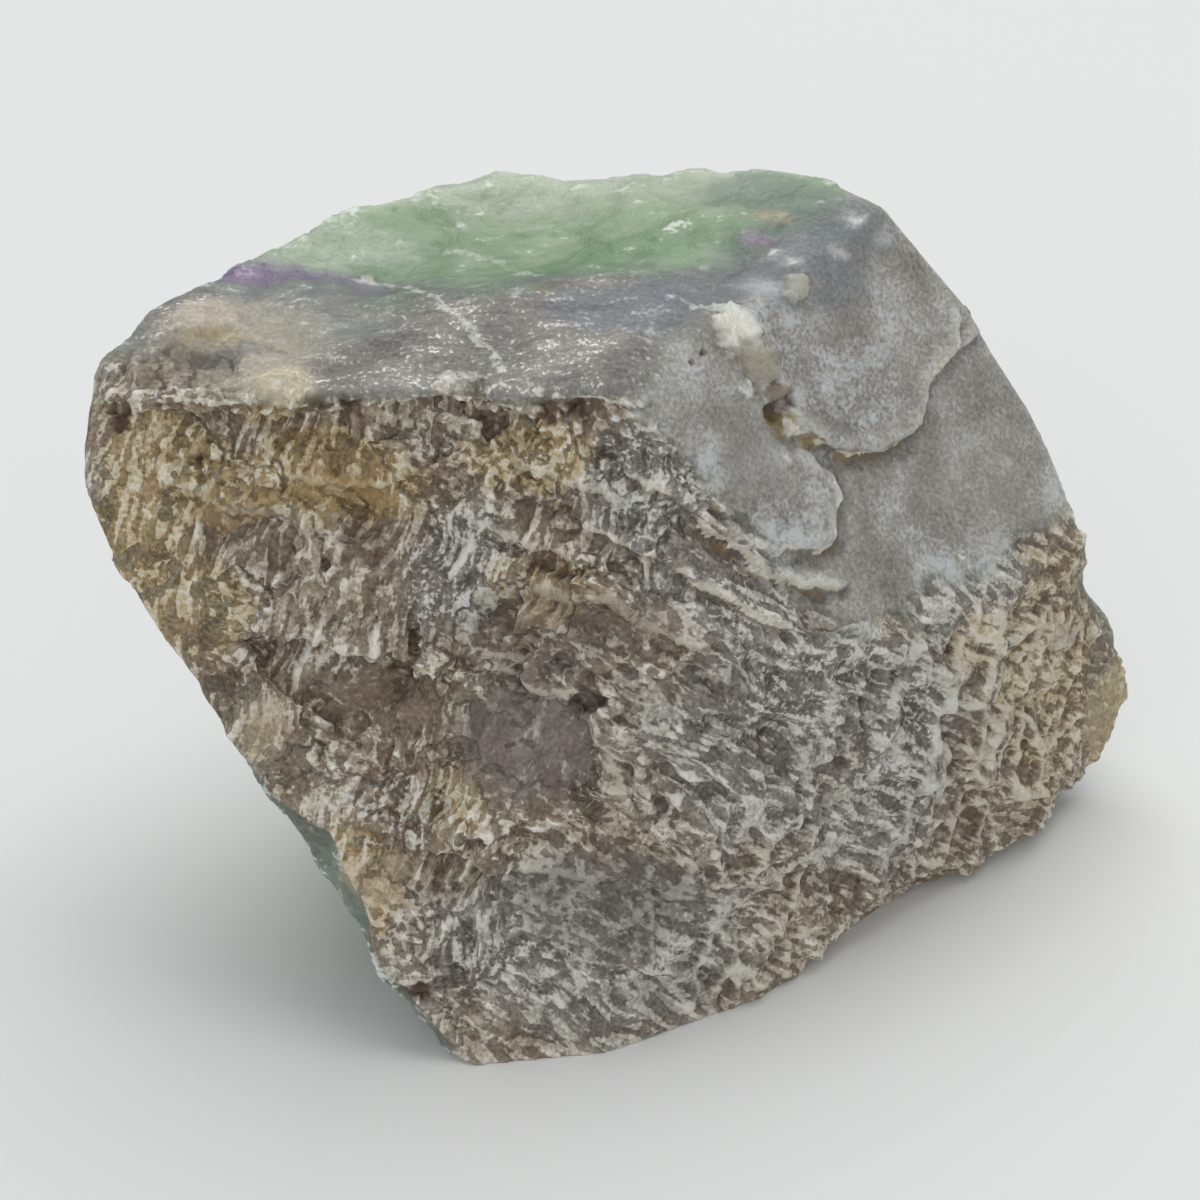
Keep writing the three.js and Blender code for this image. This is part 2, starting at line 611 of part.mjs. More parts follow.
// ---------------------------------------------------------------- the part
const fluorite = new THREE.Mesh(
  stoneGeometry(),
  new THREE.MeshStandardMaterial({ ...STONE, flatShading: true }),
);
fluorite.name = "raw_fluorite";

const part = new THREE.Group();
part.add(fluorite);

export default part;
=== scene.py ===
"""Raw green fluorite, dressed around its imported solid.

The stone is one natural lump. Its front has weathered to a rough grey-brown skin of cream crests and ledges.
Its shoulder is a smooth grey parting, and its top, left side and back are clean breaks through green, pale
and purple growth zones. Lengths are in millimetres in the classes below and in metres in the meshes. +Z is up
and the rough front is towards -Y.
"""

from __future__ import annotations

import json
import logging
import math
from dataclasses import dataclass, field
from enum import Enum
from typing import Union

import bpy
from mathutils import Vector
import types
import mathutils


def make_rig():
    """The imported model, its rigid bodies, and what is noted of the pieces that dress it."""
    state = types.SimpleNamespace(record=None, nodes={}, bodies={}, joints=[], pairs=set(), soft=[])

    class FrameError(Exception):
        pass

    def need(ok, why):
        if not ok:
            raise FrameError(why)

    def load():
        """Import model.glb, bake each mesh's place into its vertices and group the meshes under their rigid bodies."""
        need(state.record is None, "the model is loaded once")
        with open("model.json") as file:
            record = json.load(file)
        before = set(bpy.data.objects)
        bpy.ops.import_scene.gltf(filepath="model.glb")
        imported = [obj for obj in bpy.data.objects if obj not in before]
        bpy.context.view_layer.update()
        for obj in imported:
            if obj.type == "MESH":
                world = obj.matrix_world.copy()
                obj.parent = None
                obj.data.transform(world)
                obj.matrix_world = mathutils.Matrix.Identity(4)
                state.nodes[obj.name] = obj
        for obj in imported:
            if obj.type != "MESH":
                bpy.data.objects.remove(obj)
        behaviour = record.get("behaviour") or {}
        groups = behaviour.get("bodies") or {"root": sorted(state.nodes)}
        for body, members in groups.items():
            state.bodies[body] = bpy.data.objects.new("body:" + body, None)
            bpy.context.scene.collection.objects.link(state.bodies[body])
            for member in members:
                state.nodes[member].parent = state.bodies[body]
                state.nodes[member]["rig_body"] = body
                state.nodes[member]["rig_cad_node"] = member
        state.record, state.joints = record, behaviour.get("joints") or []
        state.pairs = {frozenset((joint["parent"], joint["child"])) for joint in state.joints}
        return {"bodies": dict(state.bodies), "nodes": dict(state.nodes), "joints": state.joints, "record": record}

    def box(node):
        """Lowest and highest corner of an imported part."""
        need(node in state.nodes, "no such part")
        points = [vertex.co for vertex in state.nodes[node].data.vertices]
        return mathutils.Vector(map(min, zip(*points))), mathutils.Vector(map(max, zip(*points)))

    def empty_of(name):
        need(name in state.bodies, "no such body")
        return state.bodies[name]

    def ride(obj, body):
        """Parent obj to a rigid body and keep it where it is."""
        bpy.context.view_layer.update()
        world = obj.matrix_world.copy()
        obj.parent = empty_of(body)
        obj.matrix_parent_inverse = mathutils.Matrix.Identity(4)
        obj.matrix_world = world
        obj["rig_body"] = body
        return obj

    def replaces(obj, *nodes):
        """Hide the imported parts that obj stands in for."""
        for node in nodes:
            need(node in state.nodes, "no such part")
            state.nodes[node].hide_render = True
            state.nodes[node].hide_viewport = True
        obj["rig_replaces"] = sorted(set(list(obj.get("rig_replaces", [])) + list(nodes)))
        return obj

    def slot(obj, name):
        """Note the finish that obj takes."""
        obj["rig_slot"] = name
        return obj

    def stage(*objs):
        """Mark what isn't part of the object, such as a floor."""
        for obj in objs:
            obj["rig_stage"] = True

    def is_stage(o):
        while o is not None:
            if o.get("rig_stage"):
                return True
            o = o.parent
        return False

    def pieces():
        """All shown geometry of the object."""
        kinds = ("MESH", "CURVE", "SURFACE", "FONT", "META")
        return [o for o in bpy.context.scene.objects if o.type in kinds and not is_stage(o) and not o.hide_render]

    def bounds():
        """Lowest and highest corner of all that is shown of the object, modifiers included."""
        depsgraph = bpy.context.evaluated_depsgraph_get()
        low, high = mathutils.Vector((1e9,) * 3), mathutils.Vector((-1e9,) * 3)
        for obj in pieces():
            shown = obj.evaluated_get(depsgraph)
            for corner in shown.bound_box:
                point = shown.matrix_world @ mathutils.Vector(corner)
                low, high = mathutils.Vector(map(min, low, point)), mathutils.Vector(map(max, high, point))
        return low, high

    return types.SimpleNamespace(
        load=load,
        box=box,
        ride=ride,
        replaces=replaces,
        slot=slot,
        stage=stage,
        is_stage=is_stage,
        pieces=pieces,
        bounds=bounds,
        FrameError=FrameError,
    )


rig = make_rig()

LOG = logging.getLogger("fluorite")
MM = 0.001
SIZE_FILE = "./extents.json"
Span = tuple[float, float]
Triple = tuple[float, float, float]
Socket = bpy.types.NodeSocket
Feed = Union[Socket, float, str, tuple, Vector, bpy.types.Object]
Stops = tuple[tuple[float, str], ...]


class Kind(Enum):
    """The kinds of node: each one's type, the number of the output that is wanted, and its settings."""

    ADD = ("ShaderNodeMath", 0, {"operation": "ADD"})
    TIMES = ("ShaderNodeMath", 0, {"operation": "MULTIPLY"})
    TIMES_ADD = ("ShaderNodeMath", 0, {"operation": "MULTIPLY_ADD"})
    LEAST = ("ShaderNodeMath", 0, {"operation": "MINIMUM"})
    MOST = ("ShaderNodeMath", 0, {"operation": "MAXIMUM"})
    BELOW = ("ShaderNodeMath", 0, {"operation": "LESS_THAN"})
    ABOVE = ("ShaderNodeMath", 0, {"operation": "GREATER_THAN"})
    FRACTION = ("ShaderNodeMath", 0, {"operation": "FRACT"})
    SNAP = ("ShaderNodeMath", 0, {"operation": "SNAP"})
    V_ADD = ("ShaderNodeVectorMath", 0, {"operation": "ADD"})
    V_TAKE = ("ShaderNodeVectorMath", 0, {"operation": "SUBTRACT"})
    V_TIMES = ("ShaderNodeVectorMath", 0, {"operation": "MULTIPLY"})
    V_TIMES_ADD = ("ShaderNodeVectorMath", 0, {"operation": "MULTIPLY_ADD"})
    V_DIVIDE = ("ShaderNodeVectorMath", 0, {"operation": "DIVIDE"})
    V_LEAST = ("ShaderNodeVectorMath", 0, {"operation": "MINIMUM"})
    V_MOST = ("ShaderNodeVectorMath", 0, {"operation": "MAXIMUM"})
    SCALE = ("ShaderNodeVectorMath", 0, {"operation": "SCALE"})
    UNIT = ("ShaderNodeVectorMath", 0, {"operation": "NORMALIZE"})
    DOT = ("ShaderNodeVectorMath", 1, {"operation": "DOT_PRODUCT"})
    LENGTH = ("ShaderNodeVectorMath", 1, {"operation": "LENGTH"})
    RANGE = ("ShaderNodeMapRange", 0, {})
    SOFT_RANGE = ("ShaderNodeMapRange", 0, {"interpolation_type": "SMOOTHSTEP"})
    MIX = ("ShaderNodeMix", 0, {"data_type": "FLOAT"})
    MIX_PLACE = ("ShaderNodeMix", 1, {"data_type": "VECTOR"})
    MIX_COLOUR = ("ShaderNodeMix", 2, {"data_type": "RGBA"})
    NOISE = ("ShaderNodeTexNoise", 0, {})
    NOISE_VECTOR = ("ShaderNodeTexNoise", 1, {})
    CELLS = ("ShaderNodeTexVoronoi", 0, {"feature": "F1"})
    WALLS = ("ShaderNodeTexVoronoi", 0, {"feature": "DISTANCE_TO_EDGE"})
    JOIN = ("ShaderNodeCombineXYZ", 0, {})
    X = ("ShaderNodeSeparateXYZ", 0, {})
    Z = ("ShaderNodeSeparateXYZ", 2, {})
    RAMP = ("ShaderNodeValToRGB", 0, {})
    READ = ("ShaderNodeAttribute", 2, {})
    READ_VECTOR = ("ShaderNodeAttribute", 1, {})
    BUMP = ("ShaderNodeBump", 0, {})
    PRINCIPLED = ("ShaderNodeBsdfPrincipled", 0, {})
    ABSORB = ("ShaderNodeVolumeAbsorption", 0, {})
    OUTPUT = ("ShaderNodeOutputMaterial", 0, {})
    POSITION = ("GeometryNodeInputPosition", 0, {})
    NORMAL = ("GeometryNodeInputNormal", 0, {})
    BLUR = ("GeometryNodeBlurAttribute", 0, {"data_type": "FLOAT_VECTOR"})
    STORE = ("GeometryNodeStoreNamedAttribute", 0, {"data_type": "FLOAT"})
    STORE_VECTOR = ("GeometryNodeStoreNamedAttribute", 0, {"data_type": "FLOAT_VECTOR"})
    MOVE = ("GeometryNodeSetPosition", 0, {})
    NEAR = ("GeometryNodeProximity", 0, {"target_element": "EDGES"})
    OBJECT = ("GeometryNodeObjectInfo", 4, {})
    ENTER = ("NodeGroupInput", 0, {})
    LEAVE = ("NodeGroupOutput", 0, {})


def linear(code: str) -> tuple[float, float, float, float]:
    """Turns an sRGB hex colour into linear light.

    Args:
        code: six hex digits, with or without a leading #.

    Returns:
        Red, green, blue and an alpha of one.
    """
    shares = [int(code.lstrip("#")[i : i + 2], 16) / 255 for i in (0, 2, 4)]
    bent = [s / 12.92 if s <= 0.04045 else ((s + 0.055) / 1.055) ** 2.4 for s in shares]
    return (*bent, 1.0)


class Graph:
    """A node tree that nodes are added to, one call for each."""

    def __init__(self, tree: bpy.types.NodeTree) -> None:
        """Wraps a tree."""
        self.tree = tree

    def add(
        self,
        kind: Kind,
        *feed: Feed,
        at: dict[int | str, Feed] | None = None,
        stops: Stops = (),
        **settings: object,
    ) -> Socket | None:
        """Adds a node, sets its properties, and fills or links its inputs.

        Args:
            kind: the kind of node.
            feed: values or other nodes' outputs for the first inputs, in order.
            at: more of them, by the name or the number of the input.
            stops: the places and hex colours of a colour ramp.
            settings: more properties of the node.

        Returns:
            The wanted output, or None if the node has no outputs.
        """
        type_name, wanted, fixed = kind.value
        node = self.tree.nodes.new(type_name)
        for name, value in {**fixed, **settings}.items():
            setattr(node, name, value)
        for slot, value in {**dict(enumerate(feed)), **(at or {})}.items():
            if isinstance(value, bpy.types.NodeSocket):
                self.tree.links.new(value, node.inputs[slot])
            else:
                node.inputs[slot].default_value = value
        if stops:
            ramp = node.color_ramp.elements
            ramp.remove(ramp[1])
            ramp[0].position, ramp[0].color = stops[0][0], linear(stops[0][1])
            for place, code in stops[1:]:
                ramp.new(place).color = linear(code)
        return node.outputs[wanted] if node.outputs else None

    def weigh(self, base: float, *terms: tuple[Socket | float, ...]) -> Socket:
        """Adds up values, each by its own weight and about its own middle.

        Args:
            base: the sum where every value is at its middle.
            terms: a value, its weight, and its middle unless that is 0.

        Returns:
            The output with the sum.
        """
        total = base - sum(weight * sum(middle) for _, weight, *middle in terms)
        for value, weight, *_ in terms:
            total = self.add(Kind.TIMES_ADD, value, weight, total)
        return total

    def fold(self, kind: Kind, *values: Feed) -> Feed:
        """Joins values one after another, by one kind of node with two inputs.

        Args:
            kind: the kind of node.
            values: the values.

        Returns:
            The output with what they come to.
        """
        total, *others = values
        for value in others:
            total = self.add(kind, total, value)
        return total

    def layer(self, kind: Kind, base: Feed, *layers: tuple[Feed, Feed]) -> Feed:
        """Lays values over a first one, each by its own share.

        Args:
            kind: the mix node for numbers, places or colours.
            base: the first value.
            layers: a share, and the value that it lets show.

        Returns:
            The output with the blend.
        """
        first = 2 + 2 * kind.value[1]  # a mix node has one pair of inputs for each kind of value
        for share, value in layers:
            base = self.add(kind, share, at={first: base, first + 1: value})
        return base


def node_group(name: str) -> tuple[Graph, Socket]:
    """Starts a geometry node group with one geometry in and one out.

    Args:
        name: the group's name.

    Returns:
        The graph and the output that the geometry comes in by.
    """
    group = bpy.data.node_groups.new(name, "GeometryNodeTree")
    for way in ("INPUT", "OUTPUT"):
        group.interface.new_socket("Geometry", in_out=way, socket_type="NodeSocketGeometry")
    g = Graph(group)
    return g, g.add(Kind.ENTER)


# ---------------------------------------------------------------- patterns
@dataclass(frozen=True)
class Noise:
    """Random variation about 0.5, with lumps of one size and finer ones on them."""

    size: float  # from one lump to the next
    detail: float = 2.0
    rough: float = 0.5
    twist: float = 0.0

    def field(self, g: Graph, place: Feed, kind: Kind = Kind.NOISE) -> Socket:
        """Adds the noise at a place, and returns its output."""
        lumps = {"Scale": 1 / self.size, "Distortion": self.twist}
        return g.add(kind, at={"Vector": place, "Detail": self.detail, "Roughness": self.rough, **lumps})

    def astray(self, g: Graph, place: Feed) -> Socket:
        """Adds three numbers about 0 for a place to wander by, and returns their output."""
        return g.add(Kind.V_TAKE, self.field(g, place, Kind.NOISE_VECTOR), (0.5, 0.5, 0.5))


@dataclass(frozen=True)
class Run:
    """A direction that dashes follow, and how many times longer they are along it than across."""

    toward: Triple
    stretch: float

    def lay(self, g: Graph, place: Socket) -> Socket:
        """Adds a place's coordinates along and across the run, shorter along it.

        Args:
            g: the graph.
            place: the place, in millimetres.

        Returns:
            The output with the coordinates.
        """
        first = Vector(self.toward).normalized()
        second = first.cross(Vector((0.0, 1.0, 0.0))).normalized()
        axes = (first / self.stretch, second, first.cross(second))
        return g.add(Kind.JOIN, *(g.add(Kind.DOT, place, axis) for axis in axes))


# ---------------------------------------------------------------- where things are on the stone
@dataclass(frozen=True)
class Face:
    """One of the block's flat faces, by a point on it and its outward normal."""

    at: Triple
    out: Triple

    def behind(self, g: Graph, place: Socket) -> Socket:
        """Adds the distance of a place behind the face, and returns its output."""
        inward = -Vector(self.out).normalized()
        return g.add(Kind.ADD, g.add(Kind.DOT, place, inward), -inward.dot(Vector(self.at)))


FRONT_LEFT = Face((-15.7, -35.0, 0.0), (-0.114, -0.946, 0.303))
FRONT_RIGHT = Face((-4.2, -32.8, 0.0), (0.391, -0.908, 0.148))
SIDE = Face((23.3, -12.0, 6.0), (0.602, -0.798, -0.031))
SHOULDER = Face((9.8, -5.0, 64.4), (0.621, -0.632, 0.464))
TOP = Face((-2.4, -16.4, 62.7), (-0.059, -0.244, 0.968))
LEFT = Face((-19.2, -33.5, 0.8), (-0.897, -0.193, -0.399))
# the smooth skin of the shoulder ends at these two, low down and towards the front
LOWER_HEM = Face((28.0, -6.0, 35.8), (0.0, 0.0, -1.0))
FRONT_HEM = Face((5.0, -16.0, 54.0), (-0.768, 0.0, -0.64))


@dataclass(frozen=True)
class Spot:
    """A soft-edged patch of the stone."""

    at: Triple
    reach: Triple
    share: float = 1.0

    def field(self, g: Graph, place: Socket) -> Socket:
        """Adds the patch's strength, its share in the middle and 0 at the edge, and returns its output."""
        off = g.add(Kind.V_DIVIDE, g.add(Kind.V_TAKE, place, self.at), self.reach)
        return g.add(Kind.SOFT_RANGE, g.add(Kind.LENGTH, off), 1.0, 0.5, 0.0, self.share)


@dataclass(frozen=True)
class Stain(Spot):
    """A patch with a colour of its own."""

    colour: str = ""


def spread(g: Graph, place: Socket, spots: tuple[Spot, ...]) -> Socket:
    """Adds several patches, and returns the strongest of them at each place."""
    return g.fold(Kind.MOST, *(spot.field(g, place) for spot in spots))


@dataclass(frozen=True)
class Seams:
    """Edges of split layers, rims and cracks along the surface, each through a few points.

    Towards one side of the line the surface is raised, and beyond it sunk, and both fade out over the reach.
    """

    name: str
    toward: Triple  # the raised side faces this point
    raised: float
    sunk: float
    reach: float
    lip: float  # how wide the cliff between the two is
    width: float  # how wide the line is coloured
    lines: tuple[tuple[Triple, ...], ...]
    stray: float = 2.2  # how far the line wanders

    def guide(self) -> bpy.types.Object:
        """Makes the wire that the seams follow, as edges with no faces.

        Returns:
            The wire.
        """
        corners = [tuple(c * MM for c in p) for line in self.lines for p in line]
        edges, start = [], 0
        for line in self.lines:
            edges += [(i, i + 1) for i in range(start, start + len(line) - 1)]
            start += len(line)
        wire = bpy.data.meshes.new(self.name)
        wire.from_pydata(corners, edges, [])
        guide = bpy.data.objects.new(self.name, wire)
        bpy.context.scene.collection.objects.link(guide)
        return guide

    def field(
        self, g: Graph, place: Socket, astray: Socket, wire: bpy.types.Object
    ) -> tuple[Socket, Socket, Socket]:
        """Adds the seams' height, their pale rim and the line below it where shade is painted.

        Args:
            g: the graph.
            place: the place, in metres.
            astray: noise about 0, for the way that the line wanders.
            wire: the guide.

        Returns:
            The height in millimetres, and the rim and the line below it, both from 0 to 1.
        """
        shape = g.add(Kind.OBJECT, wire)
        moved = g.add(Kind.V_ADD, place, g.add(Kind.SCALE, astray, at={"Scale": self.stray * MM}))
        near = g.add(Kind.NEAR, shape, at={"Sample Position": moved})
        far = near.node.outputs["Distance"]
        high = g.add(Kind.UNIT, g.add(Kind.V_TAKE, Vector(self.toward) * MM, near))
        side = g.add(Kind.DOT, g.add(Kind.V_TAKE, moved, near), high)
        lip, reach, width = (size * MM for size in (self.lip, self.reach, self.width))
        step = g.add(Kind.SOFT_RANGE, side, -lip, lip, -self.sunk, self.raised)
        fade = g.add(Kind.SOFT_RANGE, far, 0.25 * reach, reach, 1.0, 0.0)
        band = g.add(Kind.SOFT_RANGE, far, 0.3 * width, width, 1.0, 0.0)
        above = g.add(Kind.SOFT_RANGE, side, -0.3 * width, 0.0)
        # the line just below the rim, where the finish paints shade
        around = g.add(Kind.RANGE, far, 0.5 * width, 1.4 * width, 1.0, 0.0)
        below = g.add(Kind.RANGE, side, -0.5 * width, 0.0, 1.0, 0.0)
        return tuple(g.add(Kind.TIMES, *pair) for pair in ((step, fade), (band, above), (around, below)))


FLAKE = Seams("round flake", (22, 2, 58), 0.45, 0.45, 2.6, 0.3, 0.75, (
    ((12, -7.5, 56), (13.5, -8, 54), (16, -6.5, 52.5), (19.5, -4, 49.5), (23.5, -1.5, 48.5),
     (25.5, 0.5, 49), (27, 1, 50.5), (28, 3.5, 53), (30, 7, 54.5), (31.5, 9.5, 56.5)),
))
THICK_RIM = Seams("thick rim", (22, 2, 58), 0.8, -0.4, 3.6, 1, 1.9, (
    ((7.8, -6.4, 63.8), (8.6, -7.3, 62.4), (10.2, -6.9, 61.2), (9.7, -7.9, 59.9), (11.3, -7.9, 58.4)),
), stray=2.4)
LENS = Seams("lens-shaped layer", (9.5, -11.5, 55), 0.4, 0.45, 2.4, 0.3, 0.8, (
    ((16, -8, 51), (18, -7, 48.5), (18.5, -8, 46.5), (18, -10.5, 43.5), (16, -12.5, 43.5),
     (13.5, -15, 45)),
))
STEPS = Seams("steps below the shoulder", (10, -5, 70), 0.5, 0.5, 2.6, 0.35, 0.95, (
    ((-1.5, -18, 54.5), (1.5, -19, 53.5), (5.5, -18.5, 49), (9, -17.5, 46), (11.5, -17, 43.5),
     (14.5, -15.5, 41.5), (18, -14, 40)),
    ((-5, -20, 49.5), (0, -21, 48), (5, -22, 45), (8.5, -21, 43), (13, -20, 39.5)),
))
SHELF = Seams("shelf", (-10, -40, 400), 0.5, 0.3, 3, 0.4, 0.9, (
    ((-31, -20.5, 38), (-29, -22, 38.5), (-26, -22, 37.5), (-24, -22, 35.6), (-20, -23.5, 36.5)),
))
LEDGES = Seams("ledges", (-10, -40, 400), 0.9, 0.4, 4.2, 0.5, 1.3, (
    ((-32.5, -16, 53), (-28, -15.5, 51.5), (-23, -17, 53.5), (-21.5, -16, 55.5)),
    ((-42.5, -15, 51.5), (-38, -16, 50), (-33, -17, 49.5)),
    ((-15.5, -18.5, 50), (-11.5, -19.5, 48), (-7, -20.5, 47)),
    ((-11.5, -17, 54.5), (-8, -18, 54), (-2.5, -19, 52.5)),
    ((-9.5, -21, 44), (-4, -23, 44), (-0.5, -23, 41.5), (5, -24, 39.5)),
    ((-15, -24, 38.5), (-10.5, -25, 35.5), (-7, -25, 35)),
    ((-19, -28, 20), (-11.5, -28.5, 18), (-4, -30, 18)),
    ((-5, -26.5, 32.5), (-3.5, -26, 29), (-2, -26.5, 24.5)),
))
BROW = Seams("brow", (-20, 0, 90), 0.15, 0.25, 2.4, 0.5, 0.8, (
    ((-49.5, -9.5, 57.5), (-42.5, -13, 59.5), (-37, -14, 60), (-29.5, -14.5, 60)),
    ((-21, -14.5, 61), (-17.5, -14.5, 61.5), (-13, -15, 61.6), (-8, -16.5, 61.5), (-0.5, -16.5, 61)),
))
BANDS = Seams("pale bands of the right side", (60, 0, 60), 0.7, -0.2, 2.4, 0.6, 1.1, (
    ((31, -7, 27.5), (29, -9.5, 22.5), (28, -11, 19), (26.5, -11.5, 13), (23.5, -13.5, 8)),
    ((26, -10.5, 33), (24, -12.5, 28), (22.5, -13.5, 23), (21.5, -14.5, 18), (19, -16, 12)),
    ((20, -16.5, 34.5), (17.5, -18.5, 31), (15, -21, 25.5), (13.5, -23, 22.5)),
    ((4.5, -26.5, 18), (3.5, -27, 15.5), (-1, -29.5, 13.5), (-6, -31, 11)),
    ((39, 1.5, 27), (38.5, 0.5, 22.5), (37, -1, 17.5), (34.5, -3.5, 12)),
    ((35, -3, 33), (34.5, -4, 27), (33, -6, 21), (32, -6.5, 14)),
), stray=0.9)
CRACKS = Seams("cracks", (-10, -40, 400), -0.6, 0.6, 1.6, 0.3, 0.1, (
    ((-38.5, -17.5, 48), (-35.5, -17, 49), (-32.5, -16.5, 50), (-28, -17.5, 50.5)),
    ((-7, -24.5, 38.5), (-5, -24.5, 35.5), (-6, -25, 33)),
))
SCARS = Seams("scars of the top", (0, 30, 60), 0.1, -0.1, 1.4, 0.3, 1.5, (
    ((-24.5, 3.5, 64), (-20, -2, 64.5), (-17.5, -6, 64.5), (-15.5, -8.5, 63.5), (-13.5, -12.5, 62.5)),
    ((-19, 8.5, 64.5), (-14, 6, 65), (-10.5, 1.5, 65.5)),
    ((2.5, -4, 65.5), (5.5, -5, 65), (8.5, -5.5, 64.5)),
))


class Mark(str, Enum):
    """What the relief leaves on the stone's points, for the finish to read."""

    REST = "rest"  # where the point was before the relief, in millimetres
    LAID = "laid"  # the dashes' own coordinates, in millimetres
    TINGE = "tinge"  # the colour of local stains, already multiplied by their cover
    COVER = "cover"  # how much of the surface local stains hide
    DEEP = "deep"  # how far it lies behind the weathered front, in millimetres
    CRUST = "crust"  # 1 on the rough front
    PARTING = "parting"  # 1 on the smooth shoulder
    STRIP = "strip"  # 1 on the crusted strip along the top
    CREST = "crest"  # how far it stands out of what is about 1 mm around, in millimetres; the finish paints hollows darker as shade and crests lighter by it
    OCHRE = "ochre"  # 1 where iron has stained it
    GREY = "grey"  # 1 where the skin is grey rather than brown
    POWDER = "powder"  # 1 where it carries bluish-white powder
    BARE = "bare"  # 1 on the smooth brown patches of the front
    RIM = "rim"  # 1 on the rims of split layers, which are painted cream, partly as highlight where the edges catch light
    SCAR = "scar"  # 1 on the pale scars of the top
    NET = "net"  # 1 along the middle of an etched dash, and 0 between dashes
    RIB = "rib"  # 1 on a rib across the dashes, a pale band or the edge of a ledge
    RIBBED = "ribbed"  # 1 where there are ribs
    PIT = "pit"  # 1 in a pit, which is sunk and painted dark as shade
    LINE = "line"  # 1 just below a rim, where shade is painted dark brown


VECTORS = (Mark.REST, Mark.LAID, Mark.TINGE)


@dataclass(frozen=True)
class Etching:
    """The pattern that etching left: lens-shaped dashes along one direction, and ribs across them.

    The dashes stand up steeply at the left, with patches of short ones. Elsewhere they slant down to the
    right, as the cleavage runs. They are about 1 mm wide and 4 mm long. The ribs are thin walls about 6 mm
    apart.
    """

    steep: Run = Run((0.25, 0.1, 1.0), 5.5)
    slanting: Run = Run((0.77, 0.24, -0.59), 3.2)
    stubby: Run = Run((0.77, 0.24, -0.59), 1.5)
    rising: Run = Run((0.28, 0.18, 0.94), 1.7)  # the ribs follow this
    divide: Face = Face((-8.0, 0.0, 30.0), (-0.91, 0.0, 0.41))  # the steep dashes lie left of this
    dash: float = 1.15  # from one dash to the next
    dash_edge: Span = (0.12, 0.62)  # where a dash falls away, as shares of its width
    left_out: Span = (0.25, 0.4)  # the share of the dashes that is left out
    rib: float = 6.0  # from one rib to the next
    rib_edge: Span = (0.0, 0.12)
    rib_gaps: Span = (0.34, 0.48)
    drift: Noise = Noise(11.1, 1.0)  # the slow bends of the dashes
    sway: float = 4.0
    border: Noise = Noise(9.1, 4.0, 0.7)
    border_sway: float = 30.0
    patches: Noise = Noise(10.0, 3.0, 0.65)
    stubby_above: float = 0.52
    rib_bend: Noise = Noise(5.0, 3.0)
    rib_sway: float = 3.0

    def warp(self, g: Graph, place: Socket) -> Socket:
        """Adds a place that wanders by about 1 mm over 10 mm, so that no dash runs quite straight."""
        return g.add(Kind.V_TIMES_ADD, self.drift.astray(g, place), (self.sway,) * 3, place)

    def lay(self, g: Graph, place: Socket, warped: Socket) -> Socket:
        """Adds the dashes' own coordinates, steep and in patches short at the left, slanting at the right.

        Args:
            g: the graph.
            place: the place, in millimetres.
            warped: the place with its wandering.

        Returns:
            The output with the coordinates.
        """
        coarse = self.border.field(g, warped)
        aside = g.weigh(0.0, (self.divide.behind(g, warped), 1.0), (coarse, self.border_sway, 0.5))
        is_left = g.add(Kind.BELOW, aside, 0.0)
        is_stubby = g.add(Kind.ABOVE, self.patches.field(g, place), self.stubby_above)
        left = g.layer(Kind.MIX_PLACE, self.steep.lay(g, warped), (is_stubby, self.stubby.lay(g, warped)))
        return g.layer(Kind.MIX_PLACE, self.slanting.lay(g, warped), (is_left, left))

    def dashes(self, g: Graph, laid: Socket) -> Socket:
        """Adds the dashes, and leaves a few of them out.

        Args:
            g: the graph.
            laid: the dashes' own coordinates.

        Returns:
            The output, 1 along the middle of a dash and 0 between dashes.
        """
        dash = g.add(Kind.CELLS, at={"Vector": laid, "Scale": 1 / self.dash})
        kept = g.add(Kind.RANGE, g.add(Kind.X, dash.node.outputs["Color"]), *self.left_out)
        return g.add(Kind.TIMES, g.add(Kind.SOFT_RANGE, dash, *self.dash_edge, 1.0, 0.0), kept)

    def ribs(self, g: Graph, warped: Socket) -> Socket:
        """Adds the ribs, broken here and there.

        Args:
            g: the graph.
            warped: the place with its wandering.

        Returns:
            The output, 1 on a rib and 0 in the cells between them.
        """
        bend = self.rib_bend.field(g, warped, Kind.NOISE_VECTOR)
        bent = g.add(Kind.V_TIMES_ADD, bend, (self.rib_sway,) * 3, self.rising.lay(g, warped))
        wall = g.add(Kind.WALLS, at={"Vector": bent, "Scale": 1 / self.rib})
        broken = g.add(Kind.RANGE, g.add(Kind.X, bend), *self.rib_gaps, 0.3, 1.0)
        return g.add(Kind.TIMES, g.add(Kind.SOFT_RANGE, wall, *self.rib_edge, 1.0, 0.0), broken)


